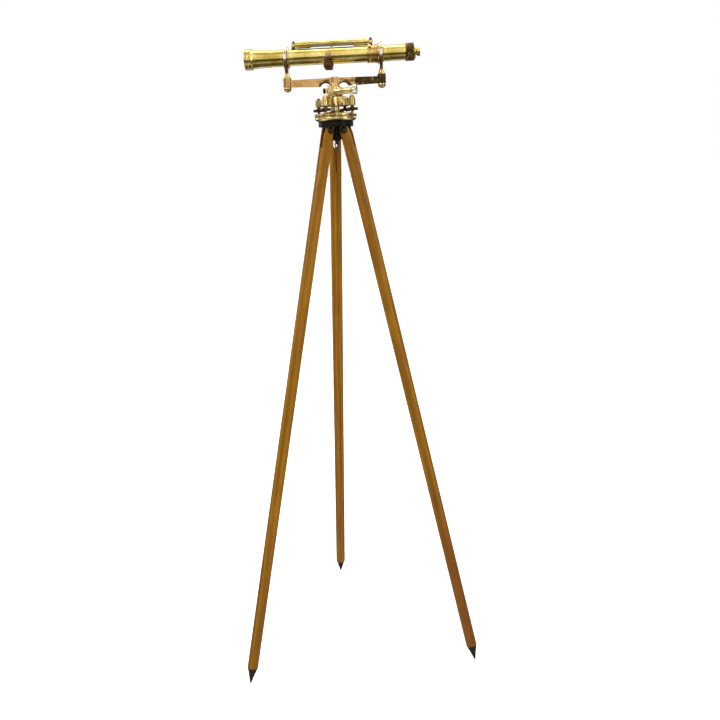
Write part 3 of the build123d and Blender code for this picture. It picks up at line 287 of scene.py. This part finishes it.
def timber(name, azimuth, stain):
    """Varnished ash: long figure and pores that run down the leg, with a redder stain towards the foot.

    stain is how red and dark the lower part of this leg is, from 0 to 1.
    """
    f = Finish(name, coat=0.05, coat_roughness=0.25)
    f.shader.inputs["Specular IOR Level"].default_value = 0.12
    hinge = polar(HINGE_R, azimuth, HINGE_Z)
    down = (polar(FOOT_R, azimuth) - hinge).normalized()
    turn = down.to_track_quat("Z", "Y").to_euler()
    along = f.turned(hinge, turn)
    wander = f.noise(f.stretched(along, (9.0, 9.0, 1.1)), 1.0, 3.0)
    figure = f.noise(f.stretched(along, (190.0, 190.0, 2.6)), 1.0, 5.0, 0.6, 0.7)
    pores = f.noise(f.stretched(along, (1500.0, 1500.0, 26.0)), 1.0, 3.0, 0.7)
    fleck = f.noise(f.stretched(along, (620.0, 620.0, 60.0)), 1.0, 2.0, 0.6)
    bands = f.node("ShaderNodeMath", {"operation": "SINE"},
                   [f.part(along, 0) * 520.0 + wander * 26.0]) * 0.5 + 0.5
    blotch = f.noise(f.stretched(along, (30.0, 30.0, 9.0)), 1.0, 5.0, 0.65, 0.6)
    grain = figure * 0.45 + bands * 0.12 + wander * 0.2 + blotch * 0.3
    wood = f.colours(grain, (0.30, (0.075, 0.026, 0.0006)), (0.72, (0.33, 0.148, 0.004)),
                     (0.50, (0.195, 0.080, 0.0015)))
    line = pores.between(0.56, 0.72)
    wood = f.mixed(line * 0.55, wood, (0.06, 0.022, 0.002))
    wood = f.mixed(fleck.between(0.64, 0.78) * 0.35, wood, (0.42, 0.21, 0.02))
    distance = f.part(along, 2)
    foot = distance.between(0.75, 1.3) * stain + f.noise(f.place, 7.0, 5.0).between(0.5, 0.75) * 0.16
    wood = f.mixed(foot, wood, (0.15, 0.045, 0.005))
    handled = f.noise(f.place, 30.0, 7.0, 0.7).between(0.56, 0.7)
    f.feed("Base Color", f.mixed(handled * 0.28, wood, (0.11, 0.048, 0.006)))
    f.feed("Roughness", 0.34 + figure * 0.16 + handled * 0.15)
    f.feed("Coat Weight", 0.06 - handled * 0.05)
    f.bump(pores * 0.5 + figure * 0.7 + line * -0.4, 0.3, 0.0003)
    return f.material


def glass(name, tint, roughness=0.03, alpha=0.4):
    """Clear glass with a faint film of dust."""
    f = Finish(name)
    film = f.noise(f.place, 60.0, 6.0, 0.6)
    f.shader.inputs["Base Color"].default_value = (*tint, 1.0)
    f.shader.inputs["Specular IOR Level"].default_value = 0.8
    f.feed("Roughness", roughness + film * 0.12)
    f.feed("Alpha", alpha + film * 0.2)
    return f.material


YELLOW, YELLOW_DEEP, OLIVE = (0.78, 0.63, 0.22), (0.46, 0.33, 0.05), (0.15, 0.09, 0.014)
GOLD, GOLD_DEEP, BROWN = (0.84, 0.66, 0.30), (0.44, 0.28, 0.08), (0.07, 0.03, 0.008)
TUBE_BRASS = brass("lacquered_brass_turned", YELLOW, YELLOW_DEEP, OLIVE, 0, 0.17, 0.25, 0.3)
FITTING_BRASS = brass("lacquered_brass", YELLOW, YELLOW_DEEP, OLIVE, None, 0.2, 0.4, 0.3)
BAND_BRASS = brass("band_brass", (0.62, 0.42, 0.14), (0.34, 0.19, 0.045), BROWN, 0, 0.19, 0.8)
SADDLE_BRASS = brass("saddle_brass", (0.66, 0.46, 0.22), (0.34, 0.21, 0.08), BROWN, None, 0.26, 0.7)
GOLD_TURNED = brass("polished_brass_turned", GOLD, GOLD_DEEP, BROWN, 2, 0.15, 0.5)
GOLD_FLAT = brass("polished_brass", GOLD, GOLD_DEEP, BROWN, None, 0.17, 0.6)
CLIP_BRASS = brass("clip_brass", (0.93, 0.84, 0.66), (0.66, 0.52, 0.34), BROWN, None, 0.2, 0.3)
# Painted shade: the bar's two scoops and its +X arm are darkened towards the near-black stain colour,
# standing in for their shadow; the rest of its brown is stain.
SCOOP_SHADE_SPOTS = [(x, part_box("limb_bar")[0][2], 0.02) for x in (-0.022, 0.022)]
BAR_BRASS = brass("bar_brass_painted_shade", (0.66, 0.42, 0.17), (0.36, 0.19, 0.055), (0.006, 0.003, 0.002),
                  stained=0.38, dark_side=0.33, painted_shade_round=SCOOP_SHADE_SPOTS)
RING_METAL = brass("bell_metal_turned", (0.66, 0.50, 0.24), (0.36, 0.23, 0.08), BROWN, 0, 0.2, 0.6)
DARK_BRONZE = bronze("dark_bronze", (0.34, 0.22, 0.08), (0.07, 0.04, 0.014))
WYE_BRONZE = bronze("wye_bronze", (0.60, 0.42, 0.20), (0.20, 0.12, 0.05), 0.3)
KNOB_BRONZE = bronze("knob_bronze", (0.24, 0.13, 0.05), (0.055, 0.026, 0.010), 0.3)
PLATE_BRASS = brass("plate_brass", GOLD, GOLD_DEEP, (0.13, 0.075, 0.02), 2, 0.16, 0.5,
                    dark_above=RIM_TOP + 9.2 * MM)
BLACK_JAPAN = japan("black_japan")
DARK_IRON = iron("dark_iron", (0.05, 0.03, 0.02), (0.11, 0.05, 0.02))
POINT_IRON = iron("point_iron", (0.03, 0.027, 0.025), (0.085, 0.04, 0.018))
STEEL = iron("plain_steel", (0.42, 0.41, 0.39), (0.16, 0.09, 0.05))
LENS_GLASS = glass("lens_glass", (0.32, 0.38, 0.40), 0.02, 0.5)
VIAL_GLASS = glass("vial_glass", (0.27, 0.25, 0.17), 0.12, 0.4)
SPIRIT = glass("spirit", (0.29, 0.235, 0.12), 0.25, 0.92)
WOODS = {tag: timber(f"ash_leg_{tag}", LEG_AZIMUTHS[tag], stain)
         for tag, stain in (("a", 0.35), ("b", 0.2), ("c", 0.75))}


# ---------------------------------------------------------------- surfaces
SAME_POLE = 1e-7                                   # points of a new surface this close are one
SAME_CORNER = 2e-6                                 # and corners of a CAD mesh
SAME_PLANE = math.radians(0.6)                     # facets of a CAD mesh this nearly flat are joined


def finish_piece(mesh, name, material, body, replaced=(), crease=38.0):
    """Makes a piece from a mesh: merges its poles, sets its shading and rides it on its body."""
    work = bmesh.new()
    work.from_mesh(mesh)
    bmesh.ops.remove_doubles(work, verts=work.verts, dist=SAME_POLE)
    bmesh.ops.recalc_face_normals(work, faces=work.faces)
    work.to_mesh(mesh)
    work.free()
    mesh.shade_smooth()
    mesh.set_sharp_from_angle(angle=math.radians(crease))
    mesh.materials.clear()
    mesh.materials.append(material)
    piece = bpy.data.objects.new(name, mesh)
    bpy.context.scene.collection.objects.link(piece)
    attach(piece, body)
    if replaced:
        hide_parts(*replaced)
    return piece


def body_of_node(node):
    """Name of the body that holds a node."""
    bodies = frame["record"]["behaviour"]["bodies"]
    return next(name for name, nodes in bodies.items() if node in nodes)


def grid_mesh(name, points, loop_u, loop_v):
    """Mesh of quads over an (n, m, 3) array of points; a loop joins its last row or column to the first."""
    n, m, _ = points.shape
    index = np.arange(n * m).reshape(n, m)
    rows = np.vstack([index, index[:1]]) if loop_u else index
    grid = np.hstack([rows, rows[:, :1]]) if loop_v else rows
    corners = [grid[:-1, :-1], grid[1:, :-1], grid[1:, 1:], grid[:-1, 1:]]
    quads = np.stack(corners, axis=-1).reshape(-1, 4)
    mesh = bpy.data.meshes.new(name)
    mesh.from_pydata(points.reshape(-1, 3).tolist(), [], quads.tolist())
    return mesh


def rounded(points, radius=0.35, steps=4):
    """Profile whose corners are quadratic curves, each starting at most radius from its corner.

    Between the two cut points the curve is (1-t)^2 a + 2t(1-t) corner + t^2 b.
    """
    pts = [np.array(p, float) for p in points]
    t = np.linspace(0, 1, steps + 1)[:, None]
    out = []
    for k, corner in enumerate(pts):
        before, after = pts[k - 1], pts[(k + 1) % len(pts)]
        if corner[1] == 0:
            out.append(corner[None, :])
            continue
        ends = []
        for other in (before, after):
            reach = np.linalg.norm(other - corner)
            ends.append(corner + (other - corner) * min(radius, 0.45 * reach) / reach)
        out.append((1 - t) ** 2 * ends[0] + 2 * t * (1 - t) * corner + t ** 2 * ends[1])
    return np.vstack(out)


def lathe(name, points, start, along, material, body, replaced=(), steps=144, cut=None,
          radius=0.35, crease=38.0):
    """Turned piece: a rounded profile of (along, radius) in mm, turned about a line.

    A point at distance s, radius r and angle t is start + s a + (r - cut(s, t)) (u cos t + v sin t).
    The profile is a closed loop, or starts and ends on the line.
    """
    profile = rounded(points, radius)
    solid = points[0][1] == 0 and points[-1][1] == 0
    axis = Vector(along).normalized()
    u = np.array(axis.orthogonal().normalized())
    v = np.cross(np.array(axis), u)
    s, r = profile[:, :1], profile[:, 1:]
    t = np.linspace(0, 2 * math.pi, steps, endpoint=False)[None, :]
    reach = r + 0 * t
    if cut:
        reach = np.maximum(reach - cut(s + 0 * t, t + 0 * s, reach), 0)
    spokes = np.cos(t)[..., None] * u + np.sin(t)[..., None] * v
    place = np.array(start) + MM * (s[..., None] * np.array(axis) + reach[..., None] * spokes)
    mesh = grid_mesh(name, place, not solid, True)
    return finish_piece(mesh, name, material, body, replaced, crease)


def milled(low, high, count, depth, outer):
    """Straight milling: count grooves between two distances, on the rim only.

    The cut is depth (1 + cos(count t)) / 2, and it runs out over 0.5 mm at each end.
    """
    def cut(s, t, r):
        edge = np.clip(np.minimum(s - low, high - s) / 0.5, 0, 1)
        rim = np.clip((r - outer + 1.2) / 0.4, 0, 1)     # 1 within 0.8 mm of the outer radius
        return depth * edge * rim * (0.5 + 0.5 * np.cos(count * t))
    return cut


def diamond(low, high, count, depth, outer, pitch):
    """Crossed knurling: the deeper of two helical grooves of opposite hand, one turn in pitch mm.

    With c = (1 + cos(count t + or - 2 pi s / pitch)) / 2 for each hand, the cut is depth c^3.
    """
    def cut(s, t, r):
        edge = np.clip(np.minimum(s - low, high - s) / 0.6, 0, 1)
        rim = np.clip((r - outer + 1.0) / 0.4, 0, 1)     # 1 within 0.6 mm of the outer radius
        turn = 2 * math.pi * s / pitch
        one = 0.5 + 0.5 * np.cos(count * t + turn)
        two = 0.5 + 0.5 * np.cos(count * t - turn)
        return depth * edge * rim * np.maximum(one ** 3, two ** 3)
    return cut


def ladder(points, low, high, spacing):
    """Profile with extra points between two distances on its outer run, for patterns that vary along it."""
    out = []
    for first, second in zip(points, points[1:] + points[:1]):
        out.append(first)
        if min(first[0], second[0]) >= low - 1e-6 and max(first[0], second[0]) <= high + 1e-6:
            count = int(abs(second[0] - first[0]) / spacing)
            out += [(first[0] + (second[0] - first[0]) * k / count,
                     first[1] + (second[1] - first[1]) * k / count) for k in range(1, count)]
    return out


def softened(node, material, width=0.35, crease=32.0):
    """A node's own shape with its flat facets joined and its sharp edges rounded.

    width is that of the rounding in mm, and crease the least angle in degrees that counts as sharp.
    """
    mesh = frame["nodes"][node].data.copy()
    mesh.name = f"{node}_fine"
    work = bmesh.new()
    work.from_mesh(mesh)
    bmesh.ops.remove_doubles(work, verts=work.verts, dist=SAME_CORNER)
    bmesh.ops.dissolve_limit(work, angle_limit=SAME_PLANE, verts=work.verts, edges=work.edges)
    work.to_mesh(mesh)
    work.free()
    mesh.shade_smooth()
    mesh.set_sharp_from_angle(angle=math.radians(crease))
    mesh.materials.clear()
    mesh.materials.append(material)
    piece = bpy.data.objects.new(f"{node}_fine", mesh)
    bpy.context.scene.collection.objects.link(piece)
    bevel = piece.modifiers.new("edges", "BEVEL")
    bevel.width = width * MM
    bevel.segments = 3
    bevel.limit_method = "ANGLE"
    bevel.angle_limit = math.radians(crease)
    bevel.use_clamp_overlap = True
    bevel.harden_normals = True
    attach(piece, body_of_node(node))
    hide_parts(node)
    return piece


def dressed(node, material):
    """A node that stays as it is, in a better finish."""
    thing = frame["nodes"][node]
    for entry in thing.material_slots:
        entry.material = material


# ---------------------------------------------------------------- tripod
def make_tripod():
    """Head, legs, their bolts and iron points."""
    softened("tripod_head", BLACK_JAPAN, 0.5)
    dressed("plumb_hook", DARK_IRON)
    for tag, azimuth in LEG_AZIMUTHS.items():
        softened(f"leg_{tag}", WOODS[tag], 0.7, 40.0)
        softened(f"leg_bolt_{tag}", DARK_IRON, 0.25)
        hinge = polar(HINGE_R, azimuth, HINGE_Z)
        foot = polar(FOOT_R, azimuth)
        down = (foot - hinge).normalized()
        lathe(f"leg_point_{tag}_turned", [
            (-76, 0), (-76, 5), (-46, 5), (-46, 13.75), (-42.8, 13.75), (-41.2, 12.6), (-24, 7.6),
            (-4.4, 2.3), (-0.7, 1.1), (-0.1, 0)], foot, down, POINT_IRON, f"leg_{tag}_body",
            (f"leg_point_{tag}",), 96, radius=0.8)


# ---------------------------------------------------------------- levelling head
def make_levelling_head():
    """Lower plate, screws with their milled discs, cross, caps and socket."""
    z = RIM_TOP / MM
    top = PLATE_TOP / MM
    lathe("lower_plate_turned", [
        (z, 30.1), (z, 42.4), (z + 0.7, 45.0), (z + 3.1, 49.0), (z + 5.3, 50.9), (z + 8.1, 50.9),
        (z + 8.8, 49.5), (z + 10.0, 49.5), (z + 10.6, 51.1), (z + 11.6, 51.9), (top - 2.2, 51.9),
        (top, 50.3), (top, 27.0), (top + 4.4, 24.5), (top + 4.4, 12.1), (top - 5.7, 12.1),
        (top - 5.7, 30.1)], (0, 0, 0), Z_AXIS, PLATE_BRASS, "stand", ("lower_plate",),
        192, radius=0.7)
    softened("levelling_cross", GOLD_FLAT, 0.9, 40.0)
    low = CROSS_LOW / MM - 11.6                    # underside of the milled discs
    for number, azimuth in enumerate(CROSS_AZIMUTHS, start=1):
        centre = polar(SCREW_CIRCLE, azimuth)
        disc = [(top + 2.1, 0), (top + 2.1, 3.2), (low, 3.2), (low, 12.6), (low + 0.8, 13.9),
                (low + 5.6, 13.9), (low + 6.4, 12.6), (low + 6.4, 7.0), (low + 7.3, 6.2),
                (low + 8.4, 5.4), (low + 8.4, 4.0), (low + 31.3, 4.0), (low + 31.7, 2.6),
                (low + 32.6, 2.2), (low + 32.6, 0)]
        lathe(f"levelling_screw_{number}_turned", disc, centre, Z_AXIS, DARK_BRONZE,
              f"screw_{number}", (f"levelling_screw_{number}",), 480,
              milled(low + 0.3, low + 6.1, 80, 0.55, 13.9), radius=0.4)
        dressed(f"levelling_shoe_{number}", GOLD_FLAT)
    dressed("half_ball", GOLD_FLAT)
    dressed("ball_seat", GOLD_FLAT)
    softened("dust_caps", GOLD_FLAT, 0.3)
    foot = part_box("centre_socket")[0][2] / MM
    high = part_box("centre_socket")[1][2] / MM
    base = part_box("levelling_cross")[1][2] / MM
    arms = CROSS_LOW / MM
    lathe("centre_socket_turned", [
        (foot, 5.7), (foot, 7.95), (arms, 7.95), (arms, 13.95), (base, 13.95), (base, 21.9),
        (base + 1.6, 21.9), (base + 2.5, 18.0), (base + 2.6, 16.45), (high, 16.45), (high, 9.7)],
        (0, 0, 0), Z_AXIS, GOLD_TURNED, "cross", ("centre_socket",), 128, radius=0.3)


# ---------------------------------------------------------------- clamp and slow motion
def make_clamp():
    """Clamp collar, its screw, the tangent screw and its barrel."""
    softened("clamp_collar", GOLD_FLAT, 0.5)
    softened("drive_lug", GOLD_FLAT, 0.5)
    u = polar(1, TANGENT_AZ)
    origin = polar(TANGENT_D, TANGENT_AZ - 90, TANGENT_Z)
    lathe("tangent_screw_turned", [
        (-8.0, 0), (-8.0, 3.0), (-7.0, 4.0), (25.0, 4.0), (25.0, 4.8), (27.5, 4.8), (27.5, 3.2),
        (52.6, 3.2), (52.6, 5.6), (54.5, 6.4), (54.5, 10.4), (55.7, 11.55), (61.3, 11.55),
        (62.4, 10.4), (62.4, 4.0), (61.4, 2.0), (61.4, 0)], origin, u, CLIP_BRASS, "tangent_knob",
        ("tangent_screw",), 400, milled(54.9, 62.0, 66, 0.5, 11.55))
    lathe("tangent_barrel_turned", [
        (20.0, 4.3), (20.0, 5.3), (21.0, 6.1), (24.5, 6.1), (25.0, 5.8), (45.5, 5.8), (46.0, 6.1),
        (48.0, 6.1), (49.0, 5.4), (50.5, 5.4), (50.5, 4.3), (46.0, 4.3), (46.0, 5.2), (24.0, 5.2),
        (24.0, 4.3)], origin, u, GOLD_FLAT, "clamp", ("tangent_barrel",), 96)
    dressed("friction_spring", STEEL)
    lathe("clamp_screw_turned", [
        (16.7, 0), (16.7, 2.5), (22.6, 2.5), (22.6, 5.7), (23.4, 6.55), (27.6, 6.55), (28.3, 5.7),
        (28.3, 2.6), (27.6, 0)], (0, 0, middle("clamp_screw").z), (-1, 0, 0), DARK_BRONZE, "clamp_knob",
        ("clamp_screw",), 288, milled(22.9, 28.0, 44, 0.45, 6.55))


# ---------------------------------------------------------------- bar and wyes
def make_limb():
    """Bar, spindle, wyes with their clips, pins and nuts."""
    softened("limb_bar", BAR_BRASS, 0.8)
    dressed("spindle", GOLD_FLAT)
    for end in ("objective", "eyepiece"):
        softened(f"wye_{end}", WYE_BRONZE, 0.6)
        softened(f"clip_{end}", CLIP_BRASS, 0.45)
        softened(f"clip_pin_{end}", KNOB_BRONZE, 0.2)
    dressed("clip_hinge_pins", STEEL)
    softened("wye_nuts", GOLD_FLAT, 0.25)


# ---------------------------------------------------------------- telescope
def make_telescope():
    """Body tube, object end, eyepiece, focusing gear and the parts inside."""
    lathe("main_tube_turned", [
        (-162.0, 15.7), (-162.0, 20.5), (-159.4, 20.5), (-158.8, 19.7), (-130.2, 19.7), (-129.4, 18.9),
        (124.0, 18.9), (124.0, 17.7), (-150.0, 17.7), (-150.0, 15.7)],
        TUBE_START, X_AXIS, TUBE_BRASS, "telescope", ("main_tube",), 160)
    lathe("soldered_bands_turned", [
        (74.2, 18.6), (74.2, 20.5), (75.2, 21.3), (76.8, 21.3), (77.6, 20.4), (85.3, 20.4),
        (86.2, 21.3), (88.4, 21.3), (89.4, 20.1), (91.8, 20.1), (93.0, 21.7), (97.3, 21.7),
        (98.8, 20.1), (98.8, 18.6)], TUBE_START, X_AXIS, BAND_BRASS, "telescope", (),
        160)
    for name, way in (("bearing_ring_objective", -1), ("bearing_ring_eyepiece", 1)):
        x = way * WYE_X / MM
        profile = [(x - way * 8.4, 18.95), (x - way * 8.4, 22.5), (x - way * 7.8, 23.9),
                   (x - way * 5.4, 24.35), (x - way * 4.25, 24.35), (x - way * 4.25, 19.95),
                   (x + way * 5.6, 19.95), (x + way * 6.6, 18.95)]
        lathe(name, profile, (0, 0, AXIS_Z), X_AXIS, RING_METAL, "telescope",
              ("bearing_rings",) if way < 0 else (), 160)
    lathe("objective_head_turned", [
        (-162.4, 15.55), (-162.4, 19.9), (-164.4, 20.2), (-176, 20.5), (-190, 21.2), (-203.0, 22.3),
        (-204.2, 23.2), (-205.4, 24.0), (-207, 24.45), (-213.4, 24.45), (-213.9, 24.1), (-214.4, 24.45),
        (-221.4, 24.45), (-222.9, 23.7), (-222.9, 21.8), (-214.5, 21.3), (-214.5, 20.6), (-200, 20.6),
        (-200, 19.0), (-170.6, 17.5), (-170.6, 15.55)], TUBE_START, X_AXIS, TUBE_BRASS, "object_end",
        ("objective_head",), 160)
    dressed("objective_slide", TUBE_BRASS)
    dressed("object_glass", LENS_GLASS)
    lathe("eyepiece_tube_turned", [
        (108.0, 15.6), (108.0, 17.5), (124.1, 17.5), (124.1, 18.65), (126.2, 18.65), (126.6, 18.3),
        (162.8, 18.3), (163.2, 18.65), (166.0, 18.65), (166.0, 15.6)], TUBE_START, X_AXIS, TUBE_BRASS,
        "telescope", ("eyepiece_tube",), 160)
    ring = ladder([
        (166.3, 14.6), (166.3, 20.0), (167.2, 20.85), (169.0, 20.85), (169.5, 20.4), (184.0, 20.4),
        (184.5, 20.85), (185.6, 20.85), (186.2, 20.2), (186.2, 12.0), (168.0, 12.0), (168.0, 14.6)],
        169.5, 184.0, 0.55)
    lathe("eyepiece_ring_knurled", ring, TUBE_START, X_AXIS, DARK_BRONZE, "eye_ring", ("eyepiece_ring",),
          528, diamond(169.6, 183.9, 66, 0.55, 20.4, 3.6))
    lathe("eyepiece_cone_turned", [
        (185.8, 11.6), (185.8, 20.1), (186.6, 19.9), (190.1, 13.6), (190.1, 7.7), (188.0, 7.7),
        (188.0, 11.6)], TUBE_START, X_AXIS, TUBE_BRASS, "eye_ring", (), 144)
    lathe("eye_cap_turned", [
        (150.0, 6.4), (150.0, 7.6), (192.6, 7.6), (192.6, 9.6), (193.4, 10.75), (200.0, 10.75),
        (200.9, 10.0), (200.9, 7.4), (197.4, 2.6), (196.0, 2.6), (196.0, 6.4)], TUBE_START, X_AXIS,
        TUBE_BRASS, "eye_end", ("eye_cap",), 128)
    dressed("eye_lenses", LENS_GLASS)
    dressed("reticle", DARK_BRONZE)
    softened("reticle_screws", FITTING_BRASS, 0.2)
    softened("pinion_housing", SADDLE_BRASS, 0.6)
    dressed("focus_pinion", STEEL)
    hub = middle("focus_pinion")
    lathe("focus_knob_milled", [
        (11.2, 2.52), (11.2, 5.1), (17.6, 5.1), (18.3, 8.4), (18.3, 11.2), (19.3, 12.25), (25.3, 12.25),
        (26.2, 11.3), (26.5, 9.8), (25.8, 8.8), (26.0, 6.4), (27.2, 4.6), (27.4, 3.0), (27.4, 0),
        (24.8, 0), (24.8, 2.52)], (hub.x, 0, hub.z), (0, -1, 0), KNOB_BRONZE, "focus",
        ("focus_knob",), 432, milled(18.8, 25.9, 72, 0.5, 12.25))


# ---------------------------------------------------------------- spirit level
def make_level():
    """Spirit level over the telescope."""
    softened("vial_tube", FITTING_BRASS, 0.3)
    dressed("vial_glass", VIAL_GLASS)
    dressed("vial_spirit", SPIRIT)
    softened("vial_mounts", DARK_BRONZE, 0.3)
    softened("vial_nuts", KNOB_BRONZE, 0.3)


# ---------------------------------------------------------------- floor, light and camera
def make_stage():
    """Pale floor, white surround and soft lights.

    What the metal reflects is the surround's own pattern: bright bands above and below the horizon,
    broken by darker panels.
    """
    bpy.ops.mesh.primitive_plane_add(size=60)
    floor = bpy.context.object
    floor.name = "floor"
    paper = Finish("pale_floor", roughness=0.9)
    paper.shader.inputs["Base Color"].default_value = (0.93, 0.93, 0.93, 1)
    paper.shader.inputs["Emission Strength"].default_value = 0.45
    seen = paper.node("ShaderNodeLightPath", {}, [], "Is Camera Ray")
    paper.feed("Emission Color", paper.mixed(seen, (0, 0, 0), (1, 1, 1)))
    floor.data.materials.append(paper.material)
    floor.visible_glossy = False

    world = bpy.data.worlds.new("studio")
    bpy.context.scene.world = world
    studio = Studio(world)
    height = studio.part(studio.place, 2) * 0.5 + 0.5
    levels = ((0.0, 0.12), (1.0, 0.5), (0.04, 0.16), (0.08, 2.0), (0.17, 2.0), (0.22, 0.16), (0.44, 0.2),
              (0.50, 0.34), (0.54, 0.58), (0.60, 1.5), (0.84, 1.6), (0.92, 0.6))
    level = studio.colours(height, *[(at, (grey, grey, grey)) for at, grey in levels])
    panels = studio.noise(studio.stretched(studio.place, (1.0, 1.0, 0.25)), 2.3, 1.0).between(0.43, 0.56)
    shaded = studio.mixed(panels, studio.mixed(0.75, level, (0.05, 0.04, 0.03)), level)
    seen = studio.node("ShaderNodeLightPath", {}, [], "Is Camera Ray")
    studio.feed("Color", studio.mixed(seen, shaded, (1, 1, 1)))

    sun = bpy.data.lights.new("sky", "SUN")
    sun.energy = 0.5
    sun.angle = math.radians(70)
    sky = bpy.data.objects.new("sky", sun)
    sky.rotation_euler = (math.radians(18), math.radians(-14), 0)
    bpy.context.scene.collection.objects.link(sky)
    aim = Vector((0, 0, 1.2))
    for name, place, size, power in (
            ("key", (-1.9, -2.1, 3.1), (1.3, 1.3), 44),
            ("fill", (2.6, -1.8, 2.0), (0.7, 2.4), 18),
            ("front", (-0.3, -3.6, 1.8), (3.2, 0.6), 9),
            ("top", (0.2, 0.3, 3.6), (2.4, 1.0), 26),
            ("rim", (1.2, 2.4, 2.6), (1.6, 1.6), 26),
            ("back_left", (-2.2, 1.6, 1.6), (1.0, 2.4), 14)):
        lamp = bpy.data.lights.new(name, "AREA")
        lamp.shape = "RECTANGLE"
        lamp.size, lamp.size_y = size
        lamp.energy = power
        thing = bpy.data.objects.new(name, lamp)
        bpy.context.scene.collection.objects.link(thing)
        thing.location = place
        thing.rotation_euler = (aim - Vector(place)).to_track_quat("-Z", "Y").to_euler()


def make_camera():
    """Camera a little below the telescope's height, looking slightly down at the whole instrument."""
    place = (0.1213, -2.0348, 1.3805)
    yaw, pitch, roll = -0.0777, -0.2440, -0.0425
    forward = Vector((math.sin(yaw) * math.cos(pitch), math.cos(yaw) * math.cos(pitch),
                      math.sin(pitch)))
    camera = bpy.data.cameras.new("camera")
    camera.sensor_width = 36.0
    camera.lens = 39.95
    camera.shift_x = 0.0415
    camera.shift_y = -0.027
    camera.clip_start = 0.05
    thing = bpy.data.objects.new("camera", camera)
    bpy.context.scene.collection.objects.link(thing)
    thing.rotation_mode = "QUATERNION"
    thing.rotation_quaternion = (forward.to_track_quat("-Z", "Y")
                                 @ Matrix.Rotation(roll, 3, "Z").to_quaternion())
    thing.location = place
    bpy.context.scene.view_settings.view_transform = "Standard"
    bpy.context.scene.camera = thing


make_camera()
make_stage()
make_tripod()
make_levelling_head()
make_clamp()
make_limb()
make_telescope()
make_level()
